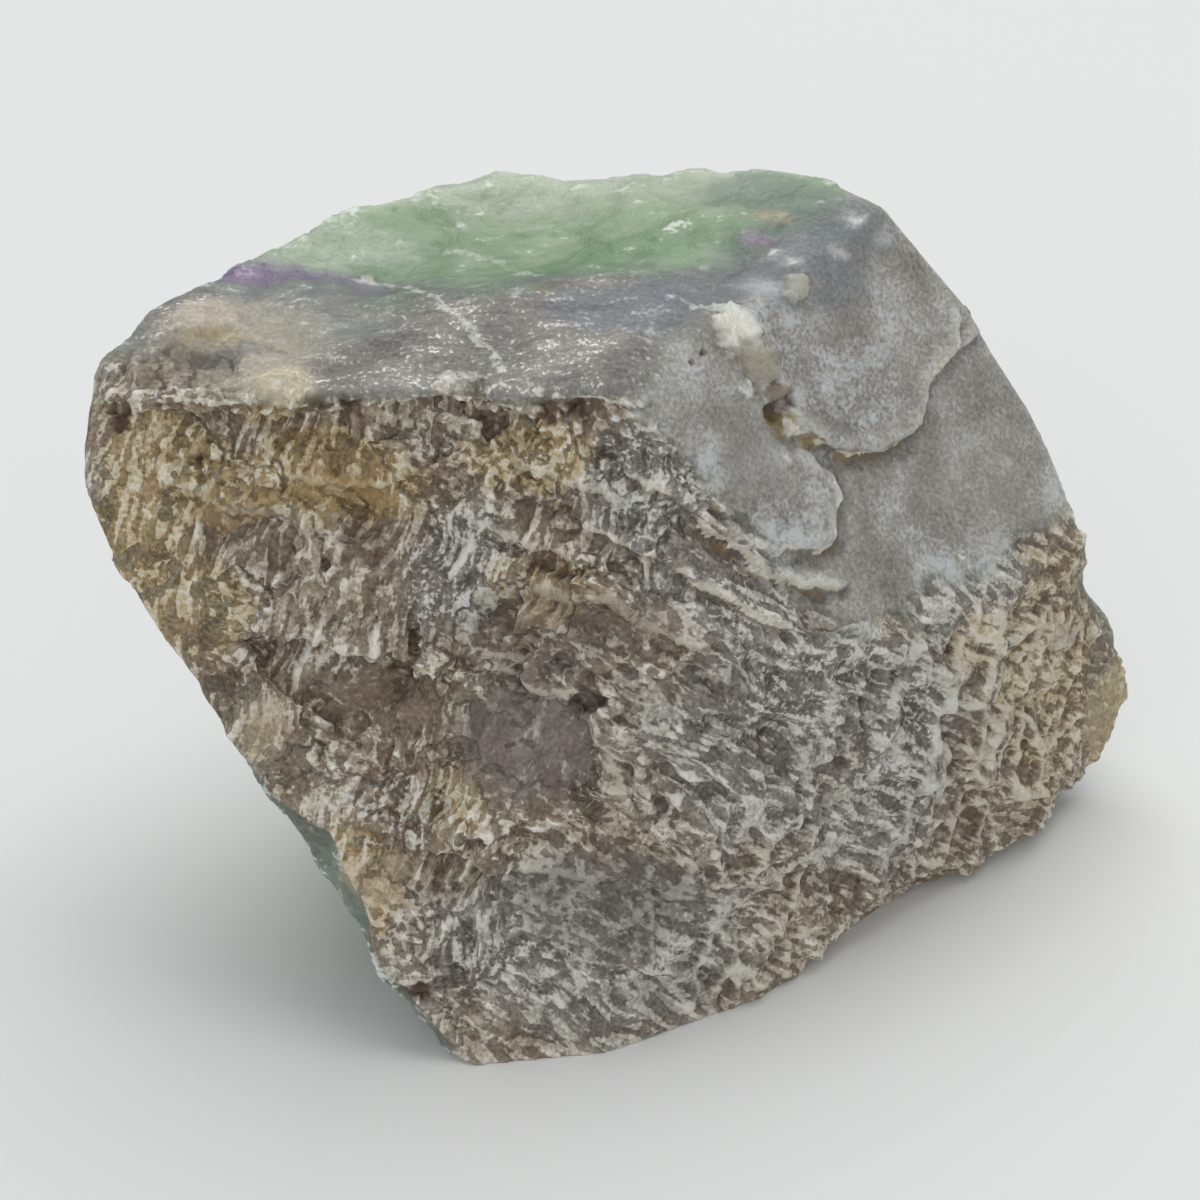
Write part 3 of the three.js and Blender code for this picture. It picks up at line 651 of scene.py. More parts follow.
STAINS: tuple[Stain, ...] = (
    # the purple band that the green begins at
    Stain((-36, 4.2, 64.3), (11, 2.5, 4), 0.75, "8D749C"),
    Stain((-25, 2.6, 64.2), (9, 1.7, 4), 0.55, "8F8098"),
    # a whitish veil over the left of the green
    Stain((-32, 10, 65), (13, 6.5, 5), 0.6, "C3CEBC"),
    Stain((-12, 16.5, 68), (22, 4, 5), 0.5, "C9D2C0"),
    # the dusky violet and green right end of the top
    Stain((16, 3, 67), (13, 8, 8), 0.75, "7B7D80"),
    Stain((7, -1.5, 66), (11, 4.2, 5), 0.7, "7A7D81"),
    Stain((18, 9.5, 69), (9, 5, 5), 0.65, "7B8684"),
    Stain((10.5, 13, 69.5), (8, 4, 5), 0.55, "8A9A8E"),
    Stain((12, 9, 68.7), (3.4, 1.3, 2), 0.6, "AFA083"),
    Stain((10, 5.5, 68), (2.4, 1.4, 2), 0.7, "A596AA"),
    Stain((20, 6, 66.5), (1.8, 1.4, 2), 0.5, "B0A081"),
    Stain((-9.5, -2, 65.5), (1.3, 1.2, 1.2), 0.7, "A8824F"),
    # the beige left end of the top, its pink knob and its lumps
    Stain((-37.5, -6.5, 62), (10.5, 9.5, 5), 0.75, "B7B0A0"),
    Stain((-45, -8, 61), (6, 5, 4), 0.6, "8B8378"),
    Stain((-41, -3.3, 63.4), (5.2, 2.4, 3), 0.65, "C2B7A8"),
    Stain((-40, -5.6, 62.4), (4.6, 1.1, 1.6), 0.7, "B3A27E"),
    Stain((-38.6, -7.6, 61.9), (3.4, 1.4, 1.4), 0.7, "8D8A86"),
    Stain((-34, -13.2, 61), (5, 3.2, 3.4), 0.65, "C6BCA0"),
    Stain((14.5, 0, 64.8), (2.4, 2.2, 2), 0.75, "C0BAAD"),
    # greenish and bluish greys of the strip
    Stain((-24, -1, 64.3), (7, 3.6, 3), 0.6, "6A766B"),
    Stain((-13, -1.6, 65.2), (7.5, 3, 3), 0.65, "6B7C70"),
    Stain((-2, -5, 65.2), (10, 5, 3), 0.55, "7B818B"),
    # ochre under the flake's rim and on the smooth ledges, and a dull patch below them
    Stain((-28.5, -15.6, 51.8), (6.5, 4, 2.6), 0.55, "A78F63"),
    Stain((-38, -16.2, 50.4), (6.5, 4, 2.2), 0.5, "A38A5E"),
    Stain((12.6, -8.2, 54.9), (2.2, 1.6, 1.4), 0.75, "9C875B"),
    Stain((15.2, -6.6, 51.9), (2.6, 1.7, 1.1), 0.8, "9C875B"),
    Stain((19, -4.4, 49.3), (3.2, 2, 0.8), 0.7, "A08C62"),
    # the cream lump that the flake's rim begins with, and the duller stone below it
    Stain((9.2, -6.4, 62.9), (3.4, 2.8, 1.9), 0.95, "DEDBD0"),
    Stain((10.5, -7.3, 60.6), (3, 2.6, 2.1), 0.9, "989181"),
    Stain((11.9, -8.2, 58.3), (1.4, 1.3, 1.3), 0.7, "705C46"),
    # the charcoal edge between the top and the shoulder, and where it is frosted
    Stain((20, 8.5, 67.4), (6.5, 5, 2.8), 0.3, "6C6D71"),
    Stain((14.5, 4, 67), (6, 3.6, 2.2), 0.25, "707174"),
    Stain((11, 13.5, 69.5), (9, 4.4, 3.4), 0.4, "7A8C80"),
    Stain((11.5, -2.2, 65.4), (3, 2.2, 1.2), 0.6, "C3C6C8"),
    Stain((23, 9.8, 66.6), (1.6, 1.8, 1.2), 0.7, "C6C9CB"),
    Stain((-26, -17.5, 46.5), (3.2, 3, 4.5), 0.4, "66554A"),
    # a browner tinge on the shoulder, low down
    Stain((34, 2, 42), (10, 8, 7), 0.4, "908A7F"),
    # the bare patches
    Stain((-11.5, -26, 30), (8, 8, 7), 0.55, "7B716B"),
    Stain((-25, -22, 34), (9, 6, 3.2), 0.5, "7A695C"),
    Stain((0, -22, 42), (6, 5, 2.6), 0.45, "8E7D70"),
    Stain((-10, -23, 41), (11, 7, 7), 0.4, "5E534B"),
    Stain((9.5, -11.5, 52), (6, 5, 6), 0.35, "7C7A76"),
    Stain((-3, -29, 15), (13, 8, 8), 0.48, "5E5A56"),
    # beige at the lower left and on the tip at the right
    Stain((-25.5, -29, 18), (4.5, 5, 4.2), 0.6, "B9AA90"),
    Stain((-36, -23, 30), (3.5, 5, 5), 0.45, "B0A185"),
    Stain((50.5, 12, 10), (6.5, 10, 9), 0.45, "C2B79B"),
    # white lumps on the top
    Stain((-17.2, -13.2, 61.5), (2, 1.7, 1), 0.7, "D9D8D2"),
    Stain((-27, 4, 64), (1.1, 1, 0.9), 0.9, "DFDEDA"),
    Stain((-9, -10, 64), (1.8, 1.1, 0.8), 0.8, "DFDEDA"),
)
# where bruises left white flecks about 1 mm across, on the shoulder and on the top
BRUISES: tuple[Triple, ...] = (
    (13, -9.5, 52.5), (24.5, -2.5, 45.5), (28, -1.5, 42), (31.5, -3, 37), (9.5, -8.5, 58.5),
    (22, -6.5, 43.5), (36.5, 6, 42.5), (-11.5, -3.5, 65.5), (-13.5, -5, 65), (0.5, -8, 64.5),
    (-34, -14.2, 61.6), (14, 2.5, 67), (5, 1, 67), (18.5, 5.6, 67), (21, 7, 66.6),
    (16.2, 1.6, 66), (19.5, 10, 68.2), (11.5, 3.4, 67.4),
)
STAINS += tuple(Stain(place, (0.9, 0.9, 0.7), 0.9, "E4E5E3") for place in BRUISES)


@dataclass
class Relief:
    """The relief of the stone's skins, and the notes of which skin is where."""

    etching: Etching = field(default_factory=Etching)
    # where skins begin and end: how far behind the front, the top, the shoulder, its hems and the left face
    skin: Span = (3.0, 7.0)
    strip: Span = (13.0, 16.5)
    top_edge: Span = (0.4, 1.6)
    shoulder_end: Span = (2.0, 3.2)
    parting_end: Span = (2.4, 3.6)
    hem_edge: Span = (-1.0, 1.2)
    hem_sway: float = 0.9
    left_edge: Span = (0.0, 3.5)
    sliver: Span = (0.5, 1.5)  # the clean sliver at the left: its width,
    sliver_turn: Span = (0.45, 0.62)  # how far the surface there is turned to the left face,
    sliver_top: Span = (25.0, 28.0)  # and how high it reaches
    foot: Span = (0.1, 1.6)  # the relief begins this far above the floor
    # the heights of the relief's parts
    etched_base: float = -0.3
    net_height: float = 0.5
    ragged_height: float = 1.0
    lump_height: float = 1.6
    rib_height: float = 0.85
    rib_calm: float = 0.75  # how much flatter the dashes are between ribs
    bare_calm: float = 0.9  # and on the bare patches
    grit_height: float = 0.9
    terrace_height: float = 3.4
    terrace_step: float = 0.06
    knob_height: float = 0.7
    knob_edge: Span = (0.1, 0.7)
    pit_depth: float = 0.8
    shelf_height: float = 0.8
    shelf_slope: float = 0.8  # the share of a shelf's width that slopes
    shelf_up: Triple = (0.3, 0.0, 0.95)
    shelf_apart: float = 8.0
    # the bends and patches of the relief's parts
    shelf_bend: Noise = Noise(13.3)
    shelf_sway: float = 5.0  # in shelves
    shelf_patches: Noise = Noise(8.3, 1.0)
    shelf_share: Span = (0.44, 0.6)
    border: Noise = Noise(4.55, 3.0)  # the bends of the borders between the skins
    border_sway: float = 6.0
    tear: Noise = Noise(1.25, 3.0)  # the small tears of the borders of patches
    tear_sway: float = 3.0
    lumps: Noise = Noise(5.9, 3.0)
    ragged: Noise = Noise(1.67, 4.0, 0.6)  # the dashes' own raggedness
    grit: Noise = Noise(0.77, 3.0, 0.7)  # drawn coarser than the real 0.2 mm, which wouldn't show
    breaks: Noise = Noise(11.1, 2.0, 0.5, 0.6)  # the terraces of a clean break
    seam_bend: Noise = Noise(2.22, 3.0)
    facing_rounds: int = 4  # how often the way the surface faces is evened out
    spare: float = 0.03  # how far the skin stays inside the solid's box
    tip: Spot = Spot((50.5, 13.0, 9.0), (8.0, 10.0, 10.0))  # where the rough skin goes round the right end
    # the patches of each skin, named as the marks that they give
    ochre: tuple[Spot, ...] = (
        Spot((-44, -14.5, 53.5), (9, 8, 6)), Spot((-47, -16, 46), (7, 7, 9), 0.8),
        Spot((-29, -15.5, 53), (11, 8, 6)), Spot((-35, -14, 60), (5, 4, 4), 0.9),
        Spot((-42, -18.5, 41), (8, 7, 7), 0.7), Spot((-12, -17.5, 56.5), (10, 5, 5), 0.8),
        Spot((-27.5, -29, 17.5), (6, 7, 8), 0.8), Spot((-10, -22, 45), (8, 6, 5), 0.6),
        Spot((-18, -26.5, 25), (6, 6, 6), 0.5), Spot((14, -8, 53), (3, 3, 2.5), 0.9),
        Spot((33, -5, 30), (6, 6, 5), 0.45), Spot((42, 4, 20), (12, 13, 22), 0.5),
        Spot((51, 14, 10), (7, 9, 9), 0.8),
    )
    grey: tuple[Spot, ...] = (
        Spot((12, -20, 30), (24, 14, 16)), Spot((8, -19, 44), (14, 8, 9), 0.9),
        Spot((31, -4, 35), (15, 11, 7)), Spot((-17, -20, 45), (7, 6, 8), 0.8),
        Spot((0, -18, 53), (9, 6, 9), 0.9), Spot((-3, -30, 10), (28, 10, 13), 0.9),
        Spot((-9.5, -25.5, 32), (10, 6, 9), 0.6), Spot((22, -13, 20), (14, 12, 20), 0.8),
    )
    powder: tuple[Spot, ...] = (
        Spot((-17, -20, 46), (8, 6, 10), 0.9), Spot((0.5, -18.5, 54), (7, 5, 9)),
        Spot((17.5, -18, 32.5), (14, 8, 8), 0.9), Spot((-29.5, -20.5, 38), (7, 5, 3.5), 0.9),
        Spot((8, -19, 42), (12, 7, 6), 0.8), Spot((6, -23, 22), (15, 8, 9), 0.45),
        Spot((-24, -27, 24), (9, 6, 6), 0.8), Spot((26, -12, 20), (7, 7, 13), 0.9),
        Spot((-6, -31, 10), (20, 8, 8), 0.6), Spot((31, -3, 37), (15, 9, 6), 0.7),
        Spot((19.5, -2, 55), (10, 7, 7), 0.9), Spot((17, -5.5, 51.5), (6, 4, 3), 1),
        Spot((12, -4, 62), (7, 6, 5), 0.8), Spot((12.5, -14, 47), (6, 5, 5), 0.8),
        Spot((5.5, -15.5, 52.5), (4, 3, 4.5), 1),
    )
    ribbed: tuple[Spot, ...] = (
        Spot((34, -2, 20), (25, 20, 24)), Spot((10, -25, 12), (22, 12, 18), 0.8),
        Spot((-10, -30, 14), (12, 8, 8), 0.5),
    )
    pits: tuple[Spot, ...] = (
        Spot((12.6, -7.9, 56.8), (1.7, 2, 1.6)), Spot((5.2, -9.2, 62.5), (1.1, 1.2, 0.7)),
        Spot((-9, -16.8, 60.3), (1.3, 2.2, 1.5), 0.7), Spot((-6.5, -17, 60.3), (1.1, 2.2, 1.4), 0.5),
        Spot((-30, -15, 59.5), (1.5, 2.2, 1.2), 0.5), Spot((-26.8, -15.4, 59.8), (1.8, 2.2, 1.3), 0.7),
        Spot((-5, -24.5, 35.5), (2, 3, 2.6), 0.3), Spot((16.5, -9.5, 48.8), (0.8, 0.9, 0.9), 0.4),
        Spot((-48.5, -11.5, 56), (1.4, 2, 1.2), 0.7), Spot((-21.5, -33, 7), (1.6, 2, 1.2), 0.8),
    )
    knobs: tuple[Spot, ...] = (
        Spot((9.3, -6.3, 62.9), (2.8, 2.6, 2.2)), Spot((10.7, -7.2, 60.6), (2.4, 2.2, 2), 0.9),
        Spot((11.8, -7.2, 58.5), (1.3, 1.4, 1.2), 0.6), Spot((-37, -7, 62.5), (2, 2.2, 1.6), 0.5),
        Spot((-41, -3.5, 63.3), (4.8, 2.8, 3.5), 0.6), Spot((-34, -13.5, 61), (4, 3.4, 3.2), 0.6),
        Spot((14.5, 0, 64.8), (2, 2, 2)), Spot((-17, -13.2, 61.6), (3, 2.2, 1.4), 0.35),
        Spot((-37.6, -18.6, 36.9), (3, 3.4, 2.2)), Spot((-47, -8, 61), (3, 3, 2.5), 0.7),
        Spot((-29.5, -19, 46), (2.4, 2.8, 2.4)), Spot((-35, -18.5, 43), (2.2, 2.6, 2.2)),
        Spot((-1.5, -26, 25), (2.2, 2.6, 2.2)),
    )
    bare: tuple[Spot, ...] = (
        Spot((-28.5, -15.6, 51.8), (6, 4, 2.2), 0.9), Spot((-38, -16.2, 50.4), (6, 4, 1.8), 0.8),
        Spot((-11.5, -26, 30), (9, 8, 8.5)), Spot((-24.5, -21.5, 33.5), (9.5, 6, 3.2)),
        Spot((-21, -20.5, 44), (3.5, 5, 6), 0.8), Spot((6, -20, 47), (7, 5, 3.6), 0.9),
        Spot((-3, -22, 41), (5, 5, 2.5), 0.7), Spot((9, -22, 34), (5, 5, 3), 0.6),
        Spot((51, 13, 9), (7, 10, 9), 0.55),
    )
    seams: tuple[Seams, ...] = (FLAKE, THICK_RIM, LENS, STEPS, SHELF, LEDGES, BROW, BANDS, CRACKS, SCARS)
    rims: tuple[Seams, ...] = (FLAKE, LENS, STEPS, BROW, SHELF)

    def masks(self, g: Graph, place: Socket, torn: Socket, outward: Socket) -> dict[Mark, Socket]:
        """Adds the shares that say which skin a place has.

        Args:
            g: the graph.
            place: the place, in millimetres.
            torn: the place with small wanderings, which the borders of spots follow.
            outward: the way the surface faces.

        Returns:
            The outputs, by mark.
        """
        ragged = g.weigh(0.0, (self.border.field(g, place), self.border_sway, 0.5))
        deep = g.fold(Kind.LEAST, *(face.behind(g, place) for face in (FRONT_LEFT, FRONT_RIGHT, SIDE)))
        frayed = g.add(Kind.ADD, deep, ragged)
        below_top = TOP.behind(g, place)
        below_shoulder = SHOULDER.behind(g, place)
        edges = (
            (frayed, *self.skin, 1.0, 0.0),  # the rough skin
            (frayed, *self.strip, 1.0, 0.0),  # the strip along the top
            (below_top, *self.top_edge, 0.0, 1.0),  # under the top
            (below_shoulder, *self.shoulder_end, 0.0, 1.0),  # under the shoulder
            (below_shoulder, *self.parting_end, 1.0, 0.0),  # on the shoulder
            (below_top, *self.top_edge, 1.0, 0.0),  # on the top
        )
        shares = [g.add(Kind.SOFT_RANGE, *edge) for edge in edges]
        skin, strip, under_top, under_shoulder, on_shoulder, on_top = shares
        rough = g.add(Kind.MOST, g.add(Kind.TIMES, skin, under_top), self.tip.field(g, torn))
        hem = g.add(Kind.LEAST, LOWER_HEM.behind(g, torn), FRONT_HEM.behind(g, torn))
        hem = g.weigh(0.0, (hem, 1.0), (ragged, self.hem_sway))
        over = g.add(Kind.SOFT_RANGE, hem, *self.hem_edge, 1.0, 0.0)
        under_shoulder = g.add(Kind.MOST, under_shoulder, over)
        on_shoulder = g.add(Kind.TIMES, on_shoulder, g.weigh(1.0, (over, -1.0)))
        # low down at the left, the crust stops just short of the split face, and a clean sliver shows
        margin = g.add(Kind.RANGE, g.add(Kind.DOT, outward, LEFT.out), *self.sliver_turn, 1.0, 0.0)
        inner = g.add(Kind.RANGE, LEFT.behind(g, place), *self.sliver)
        upper = g.add(Kind.RANGE, g.add(Kind.Z, torn), *self.sliver_top)
        rough = g.add(Kind.TIMES, rough, g.fold(Kind.MOST, margin, inner, upper))
        return {
            Mark.DEEP: deep,
            Mark.CRUST: g.add(Kind.TIMES, rough, under_shoulder),
            Mark.PARTING: g.add(Kind.TIMES, on_shoulder, under_top),
            Mark.STRIP: g.add(Kind.TIMES, strip, on_top),
        }

    def stains(self, g: Graph, place: Socket) -> tuple[Socket, Socket]:
        """Adds the local stains, laid over each other.

        Args:
            g: the graph.
            place: the place, in millimetres.

        Returns:
            Their colour, already multiplied by their cover, and the cover.
        """
        colour, cover = (0.0, 0.0, 0.0), 0.0
        for each in STAINS:
            share = each.field(g, place)
            colour = g.layer(Kind.MIX_PLACE, colour, (share, linear(each.colour)[:3]))
            cover = g.layer(Kind.MIX, cover, (share, 1.0))
        return colour, cover

    def shelves(self, g: Graph, place: Socket) -> Socket:
        """Adds overlapping shelves, each standing out above its lower edge.

        Args:
            g: the graph.
            place: the place, in millimetres.

        Returns:
            The output with their height.
        """
        rise = g.add(Kind.DOT, place, Vector(self.shelf_up) / self.shelf_apart)
        level = g.weigh(0.0, (rise, 1.0), (self.shelf_bend.field(g, place), self.shelf_sway, 0.5))
        out = g.add(Kind.RANGE, g.add(Kind.FRACTION, level), 0.0, self.shelf_slope, self.shelf_height, 0.0)
        share = g.add(Kind.SOFT_RANGE, self.shelf_patches.field(g, place), *self.shelf_share)
        return g.add(Kind.TIMES, out, share)

    def etched(self, g: Graph, place: Socket, warped: Socket, marks: dict[Mark, Socket]) -> Socket:
        """Adds the rough skin's height of dashes, lumps, shelves and ribs, and notes the dashes and the ribs.

        Args:
            g: the graph.
            place: the place, in millimetres.
            warped: the place with its wandering.
            marks: the outputs by mark, which it adds to.

        Returns:
            The output with the height, in millimetres.
        """
        laid, ribbed = marks[Mark.LAID], marks[Mark.RIBBED]
        marks[Mark.NET] = self.etching.dashes(g, laid)
        marks[Mark.RIB] = g.add(Kind.TIMES, self.etching.ribs(g, warped), ribbed)
        height = g.weigh(
            self.etched_base,
            (marks[Mark.NET], self.net_height, 0.35),
            (self.ragged.field(g, laid), self.ragged_height, 0.5),
            (self.lumps.field(g, warped), self.lump_height, 0.5),
            (self.shelves(g, place), 1.0),
        )
        height = g.add(Kind.TIMES, height, g.weigh(1.0, (ribbed, -self.rib_calm)))
        return g.weigh(0.0, (height, 1.0), (marks[Mark.RIB], self.rib_height, 0.1))

    def group(self, guides: list[bpy.types.Object], box: tuple[Vector, Vector]) -> bpy.types.NodeTree:
        """Makes the group that raises the skin's relief and notes which skin is where.

        Args:
            guides: the wires of the seams.
            box: the lowest and the highest corner of the solid, in metres.

        Returns:
            The node group.
        """
        g, geometry = node_group("relief")
        position = g.add(Kind.POSITION)
        place = g.add(Kind.SCALE, position, at={"Scale": 1 / MM})
        outward = g.add(Kind.BLUR, at={"Value": g.add(Kind.NORMAL), "Iterations": self.facing_rounds})
        warped = self.etching.warp(g, place)
        torn = g.add(Kind.V_TIMES_ADD, self.tear.astray(g, place), (self.tear_sway,) * 3, warped)
        marks = self.masks(g, place, torn, outward)
        marks[Mark.REST], marks[Mark.LAID] = place, self.etching.lay(g, place, warped)
        marks[Mark.TINGE], marks[Mark.COVER] = self.stains(g, torn)
        marks[Mark.RIBBED] = spread(g, warped, self.ribbed)
        for mark, spots in (
            (Mark.OCHRE, self.ochre),
            (Mark.GREY, self.grey),
            (Mark.POWDER, self.powder),
            (Mark.BARE, self.bare),
            (Mark.PIT, self.pits),
        ):
            marks[mark] = spread(g, torn, spots)

        from_left = g.add(Kind.SOFT_RANGE, LEFT.behind(g, place), *self.left_edge, 0.1, 1.0)
        calm = g.weigh(1.0, (marks[Mark.BARE], -self.bare_calm))
        share = g.fold(Kind.TIMES, marks[Mark.CRUST], calm, from_left)
        total = g.add(Kind.TIMES, self.etched(g, place, warped, marks), share)
        # a clean break runs in shallow terraces, a few tenths of a millimetre high
        terraces = g.add(Kind.SNAP, self.breaks.field(g, place), self.terrace_step)
        covered = g.weigh(1.0, *((marks[mark], -1.0) for mark in (Mark.CRUST, Mark.PARTING, Mark.STRIP)))
        clean = g.add(Kind.MOST, covered, 0.0)
        total = g.add(Kind.TIMES_ADD, g.weigh(0.0, (terraces, self.terrace_height, 0.5)), clean, total)

        astray = self.seam_bend.astray(g, place)
        bands, lines = {}, {}
        for seams, wire in zip(self.seams, guides):
            height, bands[seams], lines[seams] = seams.field(g, position, astray, wire)
            total = g.add(Kind.ADD, height, total)
        marks[Mark.RIM] = rim = g.fold(Kind.MOST, *(bands[seams] for seams in self.rims))
        # the lines below the rims, where shade is painted dark brown
        marks[Mark.LINE] = g.fold(Kind.MOST, *(lines[seams] for seams in self.rims))
        marks[Mark.SCAR] = bands[SCARS]
        marks[Mark.RIB] = g.add(Kind.MOST, marks[Mark.RIB], g.add(Kind.MOST, bands[BANDS], bands[LEDGES]))

        grit = g.weigh(0.0, (self.grit.field(g, marks[Mark.LAID]), self.grit_height, 0.5))
        # strong on the crust, weak on the strip and the rims, and barely there on clean stone
        skins = g.weigh(0.05, (marks[Mark.CRUST], 0.8), (marks[Mark.STRIP], 0.2), (rim, 0.1))
        total = g.add(Kind.TIMES_ADD, grit, g.add(Kind.TIMES, skins, from_left), total)
        knobs = g.add(Kind.SOFT_RANGE, spread(g, torn, self.knobs), *self.knob_edge)
        total = g.weigh(0.0, (total, 1.0), (knobs, self.knob_height), (marks[Mark.PIT], -self.pit_depth))

        # the foot stays flat, and nothing stands out of the solid's box
        free = g.add(Kind.SOFT_RANGE, g.add(Kind.Z, place), *self.foot)
        shift = g.add(Kind.SCALE, outward, at={"Scale": g.add(Kind.TIMES, total, free)})
        there = g.add(Kind.V_ADD, position, g.add(Kind.SCALE, shift, at={"Scale": MM}))
        lowest, highest = box
        spare = Vector((self.spare, self.spare, 0.0)) * MM
        there = g.add(Kind.V_LEAST, g.add(Kind.V_MOST, there, lowest + spare), highest - spare)
        for mark, value in marks.items():
            kind = Kind.STORE_VECTOR if mark in VECTORS else Kind.STORE
            geometry = g.add(kind, at={"Geometry": geometry, "Name": mark.value, "Value": value})
        g.add(Kind.LEAVE, g.add(Kind.MOVE, at={"Geometry": geometry, "Position": there}))
        return g.tree


@dataclass
class Stone:
    """The stone's surface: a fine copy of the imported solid, with the skin's relief worked into it."""

    node: str = "raw_fluorite"
    slot: str = "weathered_fluorite"
    voxel: float = 0.37
    most_faces: int = 194_000
    rounding: int = 5
    crest_rounds: tuple[int, int] = (12, 3)  # how often the surface and the way it faces are evened out
    relief: Relief = field(default_factory=Relief)
    piece: bpy.types.Object | None = None

    def build(self) -> bpy.types.Object:
        """Copies the solid, works the relief into it and shades it smooth.

        Returns:
            The finished piece.
        """
        self.copy()
        self.apply("REMESH", mode="VOXEL", voxel_size=self.voxel * MM)
        self.apply("SMOOTH", factor=0.5, iterations=self.rounding)
        guides = [seams.guide() for seams in self.relief.seams]
        self.apply("NODES", node_group=self.relief.group(guides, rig.box(self.node)))
        self.apply("NODES", node_group=self.measure())
        for guide in guides:
            bpy.data.objects.remove(guide)
        triangles = sum(len(p.vertices) - 2 for p in self.piece.data.polygons)
        self.apply("DECIMATE", ratio=min(1.0, self.most_faces / triangles))
        bpy.ops.object.shade_smooth()
        return self.piece

    def copy(self) -> None:
        """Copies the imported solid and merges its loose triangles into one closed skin."""
        bpy.ops.object.select_all(action="DESELECT")
        solid = bpy.data.objects[self.node]
        solid.select_set(True)
        bpy.context.view_layer.objects.active = solid
        bpy.ops.object.duplicate()
        self.piece = bpy.context.view_layer.objects.active
        self.piece.name = "fluorite_skin"
        self.piece.parent = None
        for key in [k for k in self.piece.keys() if k.startswith("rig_")]:
            del self.piece[key]
        self.piece.data.materials.clear()
        bpy.ops.object.mode_set(mode="EDIT")
        bpy.ops.mesh.select_all(action="SELECT")
        bpy.ops.mesh.remove_doubles(threshold=0.01 * MM)
        bpy.ops.mesh.normals_make_consistent(inside=False)
        bpy.ops.object.mode_set(mode="OBJECT")

    def apply(self, kind: str, **settings: object) -> None:
        """Adds a modifier to the piece and applies it.

        Args:
            kind: the modifier's type.
            settings: its properties.
        """
        modifier = self.piece.modifiers.new(kind.lower(), kind)
        for name, value in settings.items():
            setattr(modifier, name, value)
        bpy.context.view_layer.objects.active = self.piece
        bpy.ops.object.modifier_apply(modifier=modifier.name)

    def measure(self) -> bpy.types.NodeTree:
        """Makes the group that notes how far each point stands out of what lies around it.

        Returns:
            The node group.
        """
        g, geometry = node_group("measure")
        position = g.add(Kind.POSITION)
        level, out = (
            g.add(Kind.BLUR, at={"Value": value, "Iterations": rounds})
            for value, rounds in zip((position, g.add(Kind.NORMAL)), self.crest_rounds)
        )
        height = g.add(Kind.DOT, g.add(Kind.V_TAKE, position, level), out)
        tall = g.add(Kind.TIMES, height, 1 / MM)
        geometry = g.add(Kind.STORE, at={"Geometry": geometry, "Name": Mark.CREST.value, "Value": tall})
        g.add(Kind.LEAVE, geometry)
        return g.tree


# ---------------------------------------------------------------- finishes
def shades(*codes: str) -> Stops:
    """Sets six hex colours at the places that the etched skin's palettes share, and returns the stops."""
    return tuple(zip((0.0, 0.22, 0.42, 0.6, 0.78, 1.0), codes))


